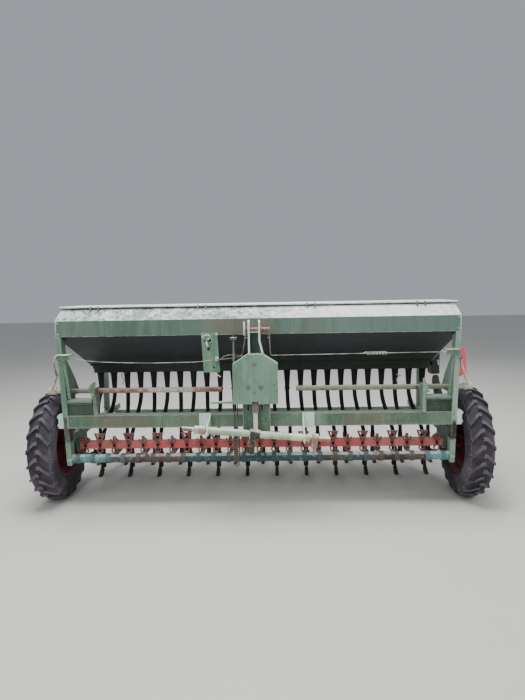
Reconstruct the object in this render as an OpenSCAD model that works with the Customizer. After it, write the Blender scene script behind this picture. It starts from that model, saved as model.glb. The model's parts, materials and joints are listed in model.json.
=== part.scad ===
/* [Hopper] */
// Length of the hopper outside
hopper_len = 2540; // [2400:10:2600]
// Height of the hopper's upper edge
hopper_top = 1322; // [1300:2:1340]
// Height of the sloped shoulders under the lid
shoulder_h = 72; // [60:2:84]
// Thickness of the hopper's sheet
sheet_t = 3; // [2:0.5:5]
// Height of the upright band round the hopper
band_h = 100; // [80:2:120]
// Depth of the trough at the bottom of the hopper
trough_depth = 110; // [100:2:120]
// Height of the trough's floor
trough_z = 890; // [880:1:910]
// How far the lid overhangs the hopper at each end
lid_over = 12; // [6:1:16]

/* [Wheels] */
// Tyre diameter out to the tips of the lugs
tyre_d = 750; // [700:2:800]
// Tyre width
tyre_w = 176; // [160:2:190]
// Gap between a side post and its tyre
tyre_gap = 52; // [48:1:80]
// Height of the lugs over the tread
lug_h = 22; // [14:1:28]
// Number of lugs on each side of a tyre
lug_count = 22; // [12:1:24]
// Diameter of the rim's bead seat
rim_d = 406; // [380:2:420]
// Diameter of the stub axle
stub_d = 40; // [30:1:46]

/* [Frame] */
// Width of a side post and of a side rail
post_w = 30; // [24:1:34]
// Depth of a side post
post_depth = 70; // [50:2:90]
// Side of the square main beam
beam_s = 82; // [60:2:90]
// Height of the main beam's centre
beam_z = 589; // [580:1:600]
// Height of a side rail's upper face
rail_top = 490; // [480:1:500]
// Height of a side rail
rail_h = 48; // [40:1:52]
// Height of the rear step's faces
step_h = 54; // [40:1:60]
// Wall of the square and round frame tubes
wall = 6; // [4:1:8]
// Thickness of the frame's plates
plate_t = 8; // [6:1:12]

/* [Seeding] */
// Number of rows on each side of the middle row
rows_side = 12; // [8:2:12]
// Outer diameter of a seed tube
seed_tube_d = 32; // [26:1:34]
// Top diameter of a seed funnel
funnel_d = 50; // [44:1:58]
// Length of a seed funnel
funnel_len = 149; // [120:1:170]
// Diameter of the metering shaft
meter_shaft_d = 20; // [16:1:24]

/* [Coulters] */
// Diameter of the pivot tube
pivot_d = 56; // [44:1:60]
// Thickness of a coulter arm
arm_t = 8; // [6:1:10]
// Height of a coulter arm
arm_h = 34; // [26:1:38]
// Distance of the front coulters behind the axle
front_rank = 450; // [440:5:470]
// Distance of the rear coulters behind the axle
rear_rank = 740; // [720:5:750]
// Thickness of a coulter's share
share_t = 16; // [12:1:20]
// Diameter of a pressure spring's coil
spring_d = 24; // [18:1:28]

/* [Hitch] */
// Diameter of a lower hitch pin
lower_pin_d = 28; // [22:1:29]
// Distance between the middles of the lower hitch pins
lower_pin_span = 842; // [820:2:860]
// Tilt of the hitch bar, its right end lower
bar_tilt = 5; // [0:1:7]
// Diameter of the hitch bar
bar_d = 44; // [36:1:48]
// Diameter of the top link pin
top_pin_d = 25.4; // [19:0.2:26]
// Clear width between the ears of the top link
ear_gap = 54; // [50:1:60]
// Height of the top link pin
top_pin_z = 1184; // [1176:2:1200]
// Sideways place of the headstock
head_x = -10; // [-20:1:20]
// Width of the headstock's cover
cover_w = 274; // [250:2:300]

/* [Markers and rope] */
// Diameter of a marker shaft
marker_d = 34; // [26:1:38]
// Diameter of a marker shaft's lever
lever_d = 16; // [12:1:20]
// Diameter of the wire rope
rope_d = 5; // [4:0.5:6]

/* [Hidden] */

// The wheel axle's place in front of the origin
axle_y = -228;
fit = 0.3;
bearing_gap = 0.05;
tyre_r = tyre_d / 2;
axle_z = tyre_r;

// Places across the machine, outwards from the hopper
hopper_x = hopper_len / 2;
post_out = hopper_x + 2;
post_in = post_out - post_w;
wheel_x = post_out + tyre_gap + tyre_w / 2;
overall_w = 2 * (wheel_x + tyre_w / 2);
meter_margin = 58;
arm_margin = 42;
meter_pitch = (hopper_x - meter_margin) / rows_side;
arm_pitch = (post_in - arm_margin) / rows_side;
row_pitch = overall_w / (2 * rows_side + 2);

// Heights
band_top = hopper_top - shoulder_h;
band_bottom = band_top - band_h;
beam_top = beam_z + beam_s / 2;
rail_bottom = rail_top - rail_h;
pivot_z = 331;
pressure_z = 384;
pressure_h = 52;
pressure_w = 40;
marker_z = beam_top + 150;
rope_z = band_bottom - 132;
foot_z = pivot_z - 41;

// Places along the machine, measured from the axle
band_front_y = axle_y - 300;
lid_front_y = axle_y - 180;
lid_rear_y = axle_y + 500;
band_rear_y = axle_y + 620;
trough_y = axle_y + 345;
pivot_y = axle_y - 200;
flange_d = stub_d + 16;
pressure_y = axle_y - flange_d / 2 - 2 - pressure_w / 2;
pressure_front = pressure_y - pressure_w / 2;
rail_end_y = axle_y + 900;
rear_post_y = axle_y + 590;
marker_y = axle_y - 160;
rope_y = axle_y - 345;
mast_y = axle_y - 320;
mast_depth = 46;
mast_w = 64;
mast_front = mast_y - mast_depth;
mast_plate_t = 10;
cover_depth = 78;

// The front edge of a side post at a height, and its back edge
post_lean = pivot_y - 25 - band_front_y;
function post_front(z) = band_front_y + post_lean * (band_bottom - z) / (band_bottom - foot_z);
function post_back(z) = post_front(z) + post_depth;
beam_front = post_front(beam_z);
beam_y = beam_front + beam_s / 2;
beam_back = beam_front + beam_s;

GREEN = [0.47, 0.62, 0.52];
DARK_GREEN = [0.2, 0.33, 0.27];
PALE = [0.72, 0.8, 0.75];
RED = [0.82, 0.34, 0.3];
BLACK = [0.13, 0.13, 0.15];
RUST = [0.5, 0.32, 0.25];
STEEL = [0.6, 0.6, 0.6];

function odd(k) = abs(k) % 2 == 1;
function mix(a, b, t) = a + (b - a) * t;

// A box given by its middle and its full sizes
module block(mid, size) {
    translate(mid) cube(size, center = true);
}

// A round bar along X
module rod_x(x0, x1, y, z, d) {
    translate([x0, y, z]) rotate([0, 90, 0]) cylinder(h = x1 - x0, d = d, $fn = 48);
}

// A round bar between two points
module strut(p, q, d) {
    v = q - p;
    translate(p) rotate([0, acos(v.z / norm(v)), atan2(v.y, v.x)]) cylinder(h = norm(v), d = d, $fn = 24);
}

// A flat bar between two points, w thick sideways and h high
module flat_bar(p, q, w, h) {
    v = q - p;
    side = norm([v.x, v.y]);
    translate(p) rotate([0, 0, -atan2(v.x, v.y)]) rotate([atan2(v.z, side), 0, 0])
        translate([-w / 2, 0, -h / 2]) cube([w, norm(v), h]);
}

// A square tube along X
module tube_x(half, y, z, depth, height) {
    difference() {
        block([0, y, z], [2 * half, depth, height]);
        block([0, y, z], [2 * half + 2, depth - 2 * wall, height - 2 * wall]);
    }
}

// A plate across the machine: outline in Y and Z, from x0 to x0 + t
module plate_yz(x0, t) {
    translate([x0, 0, 0]) rotate([90, 0, 90]) linear_extrude(height = t) children();
}

// A plate facing the front: outline in X and Z, from y0 to y0 + t
module plate_xz(y0, t) {
    translate([0, y0 + t, 0]) rotate([90, 0, 0]) linear_extrude(height = t) children();
}

module both_sides() {
    children();
    mirror([1, 0, 0]) children();
}

// The hopper's outer lines in Y and Z
trough_lip = 12;
front_line = [[lid_front_y, hopper_top], [band_front_y, band_top], [band_front_y, band_bottom],
              [trough_y - trough_depth / 2, trough_z + trough_lip]];
rear_line = [[lid_rear_y, hopper_top], [band_rear_y, band_top], [band_rear_y, band_bottom],
             [trough_y + trough_depth / 2, trough_z + trough_lip]];

function normal(a, b) = [a.y - b.y, b.x - a.x] / norm(b - a);

// A point of the line moved sideways by t, mitred at the bends
function offset_point(line, i, t) = let (
    before = normal(line[max(i - 1, 0)], line[max(i, 1)]),
    after = normal(line[min(i, len(line) - 2)], line[min(i + 1, len(line) - 1)]),
    middle = (before + after) / norm(before + after)
) line[i] + middle * t / (middle * before);

// The room that the hopper takes, for cutting what stands against it
module hopper_room() {
    polygon(concat(
        [for (i = [0:3]) offset_point(front_line, i, -fit)],
        [for (i = [3:-1:0]) offset_point(rear_line, i, fit)]
    ));
}

// The frame
module main_beam() {
    color(GREEN) tube_x(post_in - fit, beam_y, beam_z, beam_s, beam_s);
}

module beam_end_plates() {
    stub = 32;
    color(PALE) both_sides()
        block([post_out + fit + stub / 2, beam_y, beam_z + 4], [stub, beam_s, beam_s + 8]);
}

module side_post() {
    lug_bottom = marker_z - 36;
    lug_top = marker_z + 220;
    lug_back = marker_y + 130;
    color(GREEN) difference() {
        union() {
            plate_yz(post_in, post_w) difference() {
                polygon([
                    [post_front(band_bottom), band_bottom - fit], [post_back(band_bottom), band_bottom - fit],
                    [post_back(foot_z), foot_z], [post_front(foot_z), foot_z]
                ]);
                hopper_room();
            }
            plate_yz(post_in, plate_t) polygon([
                [post_back(lug_top) - 4, lug_top], [marker_y + 60, marker_z + 92],
                [lug_back, marker_z - 5], [lug_back, lug_bottom], [post_back(lug_bottom) - 4, lug_bottom]
            ]);
        }
        rod_x(post_in - 1, post_out + 1, pivot_y, pivot_z, pivot_d + 2 * fit);
        rod_x(post_in - 1, post_in + plate_t + 1, marker_y, marker_z, marker_d + 2 * fit);
    }
}

module side_rail() {
    drop = 42;
    rise = 24;
    wide = 45;
    color(GREEN) difference() {
        plate_yz(post_in, post_w) polygon([
            [post_back(rail_bottom) + fit, rail_bottom], [axle_y - wide - 30, rail_bottom],
            [axle_y - wide, axle_z - drop], [axle_y + wide, axle_z - drop],
            [axle_y + wide + 30, rail_bottom], [rail_end_y, rail_bottom],
            [rail_end_y, rail_top], [axle_y + wide + 30, rail_top], [axle_y + wide, rail_top + rise],
            [axle_y - wide, rail_top + rise], [axle_y - wide - 30, rail_top],
            [post_back(rail_top) + fit, rail_top]
        ]);
        rod_x(post_in - 1, post_out + 1, axle_y, axle_z, stub_d + 2 * bearing_gap);
    }
}

module rear_posts() {
    half = 30;
    color(GREEN) both_sides() plate_yz(post_in, post_w) difference() {
        polygon([
            [rear_post_y - half, rail_top + fit], [rear_post_y + half, rail_top + fit],
            [rear_post_y + half, band_bottom - fit], [rear_post_y - half, band_bottom - fit]
        ]);
        hopper_room();
    }
}

// Folded covers beside the posts, over the ends of the beam: a recessed panel under a deep lip
box_w = 163;
box_h = 103;
box_top = beam_top + fit + box_h;

module end_boxes() {
    lip_h = 27;
    sheet = 4;
    x0 = post_in - box_w - fit;
    z0 = beam_top + fit;
    color(GREEN) both_sides() {
        plate_xz(beam_front + 12, sheet) translate([x0, z0]) square([box_w, box_h - 1]);
        translate([x0, beam_front - 2, box_top - sheet]) cube([box_w, beam_s + 2, sheet]);
        translate([x0, beam_front - 2, box_top - lip_h]) cube([box_w, sheet, lip_h]);
        translate([x0, beam_front + 12, z0]) cube([sheet, beam_s - 12, box_h - 1]);
        translate([x0, beam_back - sheet, z0]) cube([box_w, sheet, box_h - 1]);
    }
}

// The flange of a rope bracket, which the stays reach up to
flange_z = rope_z + 17;
flange_t = 6;

module front_stays() {
    stay_w = 16;
    depth = 9;
    foot_y = beam_front + 16;
    head_y = rope_y + 40;
    z0 = box_top + fit;
    z1 = flange_z - fit;
    color(GREEN) both_sides() plate_yz(post_in - 12 - stay_w / 2, stay_w) polygon([
        [foot_y, z0], [foot_y + depth, z0], [head_y + depth, z1], [head_y, z1]
    ]);
}

// Wheels
hub_half = 56;
housing = 48;

module stub_axle() {
    nut = 6;
    hub_in = wheel_x - hub_half - nut;
    color(DARK_GREEN) {
        rod_x(post_in - 14, wheel_x + hub_half + nut, axle_y, axle_z, stub_d);
        rod_x(post_in - 14, post_in - fit, axle_y, axle_z, flange_d);
        block([(post_out + fit + hub_in) / 2, axle_y, axle_z], [hub_in - post_out - fit, housing, housing]);
        rod_x(wheel_x + hub_half - 9, wheel_x + hub_half + nut, axle_y, axle_z, stub_d + 16);
    }
}

// Outline of the tyre's outside from the middle of the tread to the bead, r grown by grow
function tyre_half(grow) = [
    [tyre_r - lug_h + grow, 0], [tyre_r - lug_h - 4 + grow, tyre_w * 0.27],
    [tyre_r - lug_h - 16 + grow, tyre_w * 0.42], [tyre_r - lug_h - 40, tyre_w / 2 - 6],
    [tyre_r - lug_h - 82, tyre_w / 2], [rim_d / 2 + 36, tyre_w / 2 - 8], [rim_d / 2 + 22, tyre_w / 2 - 22],
    [rim_d / 2 + 4, tyre_w / 2 - 31], [rim_d / 2 + fit, tyre_w / 2 - 33]
];

module tyre_turned(grow, hollow) {
    outer = tyre_half(grow);
    n = len(outer);
    inner = [[rim_d / 2 + fit, tyre_w / 2 - 48], [rim_d / 2 + 40, tyre_w / 2 - 20],
             [tyre_r - lug_h - 60, tyre_w / 2 - 14], [tyre_r - lug_h - 24, 0]];
    points = concat(
        outer,
        hollow ? inner : [[rim_d / 2 + 60, 0]],
        hollow ? [for (i = [len(inner) - 2:-1:0]) [inner[i].x, -inner[i].y]] : [],
        [for (i = [n - 1:-1:1]) [outer[i].x, -outer[i].y]]
    );
    rotate_extrude($fn = 64) polygon(points);
}

// One long slanted bar of the tread, its outer end further down at the front of the wheel
module lug() {
    back = 66;
    linear_extrude(height = 80) polygon([
        [-4, -10], [-4, 12], [16, 15], [tyre_w * 0.44, back + 8], [tyre_w * 0.5, back + 8],
        [tyre_w * 0.5, back - 11], [tyre_w * 0.44, back - 11], [16, -8]
    ]);
}

module tyre() {
    step = 360 / lug_count;
    color(BLACK) translate([0, axle_y, axle_z]) rotate([0, 90, 0]) {
        tyre_turned(0, true);
        intersection() {
            tyre_turned(lug_h, false);
            for (i = [0:lug_count - 1], side = [0, 1])
                rotate([0, 0, (i + side / 2) * step]) translate([tyre_r - 80, 0, 0])
                    rotate([0, 90, 0]) mirror([side, 0, 0]) lug();
        }
    }
}

module rim() {
    seat = rim_d / 2;
    well = seat - 26;
    color(RED) translate([0, axle_y, axle_z]) rotate([0, 90, 0]) difference() {
        union() {
            rotate_extrude($fn = 64) polygon([
                [seat + 16, -70], [seat + 16, -66], [seat, -60], [seat, -34], [well, -28], [well, 14],
                [seat, 34], [seat, 60], [seat + 16, 66], [seat + 16, 70], [seat - 5, 64], [seat - 5, 38],
                [well - 6, 18], [well - 14, 20], [120, 34], [60, 38], [60, 33], [118, 28],
                [well - 16, 14], [well - 5, 10], [well - 5, -30], [seat - 5, -38], [seat - 5, -64]
            ]);
            translate([0, 0, -hub_half]) cylinder(h = 2 * hub_half - 14, d = 96, $fn = 48);
            translate([0, 0, 26]) cylinder(h = 7, d = 150, $fn = 48);
        }
        translate([0, 0, -hub_half - 1]) cylinder(h = 2 * hub_half, d = stub_d + 2 * bearing_gap, $fn = 48);
    }
}

// A bent sheet along a line, its thickness towards the inside
module bent_sheet(line, side) {
    polygon(concat(line, [for (i = [len(line) - 1:-1:0]) offset_point(line, i, side * sheet_t)]));
}

sheet_x = hopper_x - sheet_t - fit;

module hopper_front() {
    color(PALE) plate_yz(-sheet_x, 2 * sheet_x) bent_sheet(front_line, 1);
}

module hopper_rear() {
    color(PALE) plate_yz(-sheet_x, 2 * sheet_x) bent_sheet(rear_line, -1);
}

module hopper_trough() {
    y0 = trough_y - trough_depth / 2;
    y1 = trough_y + trough_depth / 2;
    z1 = trough_z + trough_lip - fit;
    color(DARK_GREEN) plate_yz(-sheet_x, 2 * sheet_x) polygon([
        [y0, z1], [y0, trough_z], [y1, trough_z], [y1, z1], [y1 - sheet_t, z1],
        [y1 - sheet_t, trough_z + sheet_t], [y0 + sheet_t, trough_z + sheet_t], [y0 + sheet_t, z1]
    ]);
}

module hopper_end() {
    color(GREEN) plate_yz(hopper_x - sheet_t, sheet_t) polygon(concat(
        front_line,
        [[trough_y - trough_depth / 2, trough_z], [trough_y + trough_depth / 2, trough_z]],
        [for (i = [3:-1:0]) rear_line[i]]
    ));
}

// The lid turns on pins along the hopper's front edge
hinge_y = lid_front_y - 8;
hinge_z = hopper_top + 10;
hinge_count = 4;
hinge_pitch = 2 * (hopper_x - 220) / (hinge_count - 1);
hinge_xs = [for (i = [0:hinge_count - 1]) (i - (hinge_count - 1) / 2) * hinge_pitch];
hinge_w = 40;
hinge_ear = 8;
ear_slot = hinge_ear + 2;
bead_d = 15;
pin_d = 8;

module lid() {
    lid_x = hopper_x + lid_over;
    lid_t = 3;
    lip = 10;
    crown = 10;
    fold = 60;
    z0 = hopper_top + lip;
    y0 = hinge_y + 12;
    y1 = lid_rear_y + 14;
    middle = mix(y0, y1, 0.5);
    slot = ear_slot;
    pin_reach = hinge_w / 2 + slot + 6;
    color(PALE) difference() {
        union() {
            plate_yz(-lid_x, 2 * lid_x) polygon([
                [y0, z0], [y0 + fold, z0 + crown - 2], [middle, z0 + crown], [y1 - fold, z0 + crown - 2],
                [y1, z0], [y1, z0 - lip], [y1 - lid_t, z0 - lip], [y1 - lid_t, z0 - lid_t],
                [y1 - fold, z0 + crown - 2 - lid_t], [middle, z0 + crown - lid_t],
                [y0 + fold, z0 + crown - 2 - lid_t], [y0, z0 - lid_t]
            ]);
            rod_x(-lid_x, lid_x, hinge_y, hinge_z, bead_d);
            translate([-lid_x, hinge_y + 3, hinge_z - 3]) cube([2 * lid_x, 11, 3]);
        }
        for (x = hinge_xs, side = [-1, 1])
            block([x + side * (hinge_w + slot) / 2, hinge_y, hinge_z], [slot, 22, 24]);
        for (x = hinge_xs) rod_x(x - pin_reach, x + pin_reach, hinge_y, hinge_z, pin_d + 0.1);
    }
}

module lid_hinges() {
    ear = hinge_ear;
    slope = (hopper_top - band_top) / (lid_front_y - band_front_y);
    foot_y = hinge_y - 26;
    foot = hopper_top + fit;
    reach = hinge_w / 2 + ear + 1;
    color(STEEL) for (x = hinge_xs) {
        rod_x(x - reach - 4, x + reach + 4, hinge_y, hinge_z, pin_d);
        for (side = [-1, 1]) plate_yz(x + side * (hinge_w / 2 + 1 + ear / 2) - ear / 2, ear) polygon([
            [hinge_y - 7, hinge_z + 5], [hinge_y - 3, hinge_z + 8], [hinge_y + 4, hinge_z + 8],
            [hinge_y + 8, hinge_z], [lid_front_y, foot], [foot_y, foot - slope * (lid_front_y - foot_y)]
        ]);
    }
}

module agitator_shaft() {
    shaft_z = trough_z + 62;
    color(STEEL) {
        rod_x(-sheet_x, sheet_x, trough_y, shaft_z, 22);
        for (k = [-rows_side:rows_side], a = [0, 180])
            translate([k * meter_pitch, trough_y, shaft_z]) rotate([a + (odd(k) ? 90 : 0), 0, 0])
                cylinder(h = 34, d = 8, $fn = 16);
    }
}

// Seeding units under the trough, behind one long front strip
meter_h = 50;
meter_top = trough_z - fit;
meter_bottom = trough_z - meter_h;
meter_shaft_z = trough_z - 26;

module metering_units() {
    unit_w = 62;
    strip_y = trough_y - trough_depth / 2;
    strip_x = rows_side * meter_pitch + unit_w / 2;
    bore_d = meter_shaft_d + 0.1;
    color(DARK_GREEN) {
        translate([-strip_x, strip_y, meter_bottom - 2]) cube([2 * strip_x, 4, 38]);
        for (k = [-rows_side:rows_side]) difference() {
            plate_yz(k * meter_pitch - unit_w / 2, unit_w) polygon([
                [strip_y + 3, meter_top], [strip_y + 3, meter_top - 24], [trough_y - 34, meter_bottom + 10],
                [trough_y - 26, meter_bottom], [trough_y + 26, meter_bottom],
                [trough_y + 40, meter_bottom + 16], [trough_y + 46, meter_top]
            ]);
            rod_x(k * meter_pitch - unit_w, k * meter_pitch + unit_w, trough_y, meter_shaft_z, bore_d);
        }
    }
}

gear_w = 50;

module metering_shaft() {
    disc_x = hopper_x + gear_w + 4;
    color(STEEL) {
        rod_x(-hopper_x + 20, disc_x + 14, trough_y, meter_shaft_z, meter_shaft_d);
        rod_x(disc_x, disc_x + 8, trough_y, meter_shaft_z, meter_shaft_d + 32);
    }
}

funnel_rim = 12;
funnel_bottom = meter_bottom - funnel_len;

module seed_funnels() {
    neck_z = funnel_bottom + funnel_rim;
    mouth_z = meter_bottom - funnel_rim;
    color(BLACK) for (k = [-rows_side:rows_side]) translate([k * meter_pitch, trough_y, 0]) {
        translate([0, 0, funnel_bottom]) cylinder(h = funnel_rim, d = seed_tube_d + 8, $fn = 32);
        translate([0, 0, neck_z])
            cylinder(h = mouth_z - neck_z, d1 = seed_tube_d + 1, d2 = funnel_d, $fn = 32);
        translate([0, 0, mouth_z]) cylinder(h = funnel_rim - fit, d = funnel_d + 6, $fn = 32);
    }
}

// A seed tube's middle line: an S curve from the funnel to the coulter; the outer rows swing out first
boot_top_z = 236;
boot_back = 34;
function outer_row(k) = abs(k) == rows_side;
function rank_y(k) = axle_y + (odd(k) ? front_rank : rear_rank);
function tube_line(k, n) = let (
    top = [k * meter_pitch, trough_y, funnel_bottom - fit],
    end = [k * row_pitch, rank_y(k) + boot_back, boot_top_z + fit],
    drop = [0, 0, 150],
    swing = [outer_row(k) ? sign(k) * 60 : 0, 0, 0]
) [for (i = [0:n]) bezier([top, top - drop + swing, end + drop, end], i / n)];
function bezier(p, t) =
    p[0] * pow(1 - t, 3) + p[1] * 3 * t * pow(1 - t, 2) + p[2] * 3 * t * t * (1 - t) + p[3] * pow(t, 3);

// A round tube of the given sides swept along points, its end rings level where it hangs
module swept(points, d, sides, level) {
    n = len(points);
    rings = [for (i = [0:n - 1]) let (
        tangent = points[min(i + 1, n - 1)] - points[max(i - 1, 0)],
        dir = (level && (i == 0 || i == n - 1)) ? [0, 0, -1] : tangent / norm(tangent),
        u = cross(dir, [0, 1, 0]) / norm(cross(dir, [0, 1, 0])),
        v = cross(dir, u)
    ) for (s = [0:sides - 1]) points[i] + d / 2 * (cos(360 * s / sides) * u + sin(360 * s / sides) * v)];
    polyhedron(points = rings, faces = concat(
        [[for (s = [0:sides - 1]) s]],
        [for (i = [0:n - 2], s = [0:sides - 1]) let (a = i * sides + s, b = i * sides + (s + 1) % sides)
            [a, a + sides, b + sides, b]],
        [[for (s = [sides - 1:-1:0]) (n - 1) * sides + s]]
    ));
}

module seed_tubes() {
    color(BLACK) for (k = [-rows_side:rows_side]) swept(tube_line(k, 9), seed_tube_d, 8, true);
}

// Coulters
arm_end_z = 168;
eye_d = pivot_d + 2 * fit + 10;
eye_half = 14;
elbow_y = axle_y + 150;

module pivot_tube() {
    color(RUST) difference() {
        rod_x(-post_out, post_out, pivot_y, pivot_z, pivot_d);
        rod_x(-post_out - 1, post_out + 1, pivot_y, pivot_z, pivot_d - 2 * wall);
    }
}

function arm_start(k) = [k * arm_pitch, pivot_y + eye_d / 2 - 4, pivot_z - 8];
function arm_end(k) = [k * row_pitch, rank_y(k), arm_end_z];
function arm_share(k, y) = (y - arm_start(k).y) / (arm_end(k).y - arm_start(k).y);
function straight(k, y) = mix(arm_start(k), arm_end(k), arm_share(k, y));
function on_arm(k, y) = outer_row(k) ? [k * arm_pitch, y, straight(k, y).z] : straight(k, y);

// Each spring's foot is a pin in an upright ear on its arm
spring_foot_y = elbow_y - 30;
foot_pin_d = 10;
foot_lift = arm_h / 2 + 20;
foot_ear_t = 6;
foot_ear_in = 5;
function spring_foot(k) = on_arm(k, spring_foot_y) + [0, 0, foot_lift];
// The ear stands on the side that its leaning spring comes away from
function foot_side(k) = k < 0 ? -1 : 1;
module beside_foot(k) { translate([spring_foot(k).x, 0, 0]) mirror([foot_side(k) < 0 ? 1 : 0, 0, 0]) children(); }

module coulter_arm(k) {
    s = arm_start(k);
    e = arm_end(k);
    foot = spring_foot(k);
    difference() {
        union() {
            rod_x(s.x - eye_half, s.x + eye_half, pivot_y, pivot_z, eye_d);
            if (outer_row(k)) {
                b = on_arm(k, elbow_y);
                flat_bar(s, b, arm_t, arm_h);
                flat_bar(b, e, arm_t, arm_h);
                translate([b.x, b.y, b.z]) cylinder(h = arm_h - 1, d = arm_t + 2, center = true, $fn = 24);
            } else flat_bar(s, e, arm_t, arm_h);
            beside_foot(k) {
                block([3.2, foot.y, foot.z - 22], [18, 26, 14]);
                plate_yz(foot_ear_in, foot_ear_t) translate([foot.y, foot.z]) {
                    circle(d = 22, $fn = 32);
                    translate([-11, -22]) square([22, 22]);
                }
            }
        }
        rod_x(s.x - eye_half - 1, s.x + eye_half + 1, pivot_y, pivot_z, pivot_d + 2 * fit);
        beside_foot(k)
            rod_x(foot_ear_in - 1, foot_ear_in + foot_ear_t + 1, foot.y, foot.z, foot_pin_d + 2 * fit);
        block([e.x, e.y + 20, e.z], [4 * arm_h, 40, 4 * arm_h]);
    }
}

module coulter_arms_front() {
    color(DARK_GREEN) for (k = [-rows_side + 1:2:rows_side - 1]) coulter_arm(k);
}

module coulter_arms_rear() {
    color(DARK_GREEN) for (k = [-rows_side:2:rows_side]) coulter_arm(k);
}

// A hoe share with its seed boot behind it, set against the end of its arm
module share(k) {
    head = [30, 24 - fit, 62];
    translate([k * row_pitch, rank_y(k) + fit, 0]) {
        plate_yz(-share_t / 2, share_t) polygon([
            [0, 204], [0, 132], [-8, 92], [-22, 58], [-40, 34], [-52, 20], [-30, 20], [-6, 34],
            [10, 54], [20, 76], [28, 104], [30, 204]
        ]);
        plate_yz(-share_t / 2 - 5, share_t + 10) polygon([
            [-70, 0], [-24, 0], [-2, 22], [8, 44], [-8, 50], [-34, 32], [-62, 10]
        ]);
        difference() {
            translate([0, boot_back, 46]) cylinder(h = boot_top_z - 46, d = seed_tube_d + 6, $fn = 32);
            translate([0, boot_back, 40]) cylinder(h = boot_top_z - 30, d = seed_tube_d - 4, $fn = 32);
            translate([-30, boot_back - 20, 46]) rotate([24, 0, 0]) translate([0, 0, -60]) cube([60, 90, 60]);
        }
        block([0, head.y / 2, 150], head);
        for (z = [134, 168]) rod_x(-20, 20, 12, z, 12);
    }
}

module shares_front() {
    color(RUST) for (k = [-rows_side + 1:2:rows_side - 1]) share(k);
}

module shares_rear() {
    color(RUST) for (k = [-rows_side:2:rows_side]) share(k);
}

module pressure_rail() {
    color(RED) tube_x(post_in - fit, pressure_y, pressure_z, pressure_w, pressure_h);
}

// Flat hangers on the rail's front: every second one a V, the rest a U with a tongue, each ending in an eye
hanger_t = 8;
rail_up = pressure_z + pressure_h / 2;
v_pin_z = rail_up + 46;
u_pin_z = rail_up + 27;

module hanger_outline(v) {
    eye_z = pressure_z - 37;
    difference() {
        union() {
            if (v) polygon([[-38, rail_up + 58], [38, rail_up + 58], [14, rail_up - 8], [-14, rail_up - 8]]);
            else {
                polygon([
                    [-30, rail_up + 18], [30, rail_up + 18], [28, rail_up], [18, rail_up - 12],
                    [-18, rail_up - 12], [-28, rail_up]
                ]);
                translate([-9, rail_up - 8]) square([18, 46]);
            }
            polygon([[-14, rail_up - 8], [14, rail_up - 8], [6, pressure_z - 20], [-6, pressure_z - 20]]);
            translate([0, eye_z]) circle(d = 44, $fn = 32);
        }
        translate([0, eye_z]) circle(d = 26, $fn = 32);
        if (v) polygon([[-21, rail_up + 50], [-12, rail_up + 50], [-12, rail_up + 36], [12, rail_up + 36],
                        [12, rail_up + 50], [21, rail_up + 50], [7, rail_up + 14], [-7, rail_up + 14]]);
        else for (side = [-1, 1]) translate([side * 15, rail_up + 9]) square([8, 20], center = true);
    }
}

module spring_hangers() {
    color(RED) for (k = [-rows_side:rows_side]) translate([k * arm_pitch, 0, 0])
        plate_xz(pressure_front - fit - hanger_t, hanger_t) hanger_outline(odd(k));
}

// A closed coil's outer shape: a round bar with a ridge for each turn
module ridged_bar(turns, r, pitch, groove) {
    rotate_extrude($fn = 24) polygon(concat(
        [[0, 0]],
        [for (i = [0:turns - 1], p = [[r - groove, 0], [r, 0.3], [r, 0.7], [r - groove, 1]]) [p.x, (i + p.y) * pitch]],
        [[0, turns * pitch]]
    ));
}

// Each spring pushes from its hanger to the pin on its arm
module pressure_springs() {
    turns = 16;
    core = 8;
    pin_back = 24;
    color(DARK_GREEN) for (k = [-rows_side:rows_side]) {
        top = [k * arm_pitch, pressure_front + pin_back - 8, odd(k) ? v_pin_z : u_pin_z];
        foot = spring_foot(k);
        v = foot - top;
        pitch = norm(v) * 0.62 / turns;
        strut(top, foot, core);
        beside_foot(k) rod_x(-foot_ear_in, foot_ear_in + foot_ear_t + 3, foot.y, foot.z, foot_pin_d);
        translate([top.x, pressure_front, top.z]) rotate([-90, 0, 0]) cylinder(h = pin_back, d = 12, $fn = 16);
        translate(top) rotate([0, acos(v.z / norm(v)), atan2(v.y, v.x)]) translate([0, 0, norm(v) * 0.22])
            ridged_bar(turns, spring_d / 2, pitch, 3);
    }
}

// Headstock and hitch
plate_top = beam_z + 138;
cover_bottom = plate_top + 7;
cover_top = top_pin_z - 147;
ear_bottom = top_pin_z - 144;
guide_x = head_x - 130;
guide_d = 15;

module headstock_mast() {
    guide_y = rope_y - rope_d / 2 - guide_d / 2 - fit;
    carrier_z = rope_z - 58;
    cap_z = top_pin_z - 63;
    foot = beam_s / 2;
    color(GREEN) {
        translate([head_x - mast_w / 2, mast_front, beam_z - foot])
            cube([mast_w, mast_depth, top_pin_z - 18 - beam_z + foot]);
        translate([head_x - mast_w / 2 - 12, mast_y - 10, beam_z - foot + 2])
            cube([mast_w + 24, beam_front - fit - mast_y + 10, beam_s - 4]);
        plate_xz(mast_front - mast_plate_t, mast_plate_t) translate([head_x, beam_z]) difference() {
            translate([-78, -foot]) square([166, plate_top - beam_z + foot]);
            for (x = [-47, 40]) translate([x, 106]) square([10, 42], center = true);
            translate([64, 26]) square([10, 40], center = true);
            for (x = [-36, 39]) translate([x, -27]) circle(d = 10, $fn = 24);
        }
        rod_x(guide_x, head_x - mast_w / 2 + 5, guide_y, carrier_z, 10);
        translate([guide_x, guide_y, carrier_z - 6]) cylinder(h = cap_z - carrier_z + 6, d = guide_d, $fn = 32);
        translate([guide_x, guide_y, cap_z]) cylinder(h = 14, d = 44, $fn = 48);
        translate([guide_x, guide_y, cap_z + 10]) cylinder(h = 110, d = 6, $fn = 24);
    }
}

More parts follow.
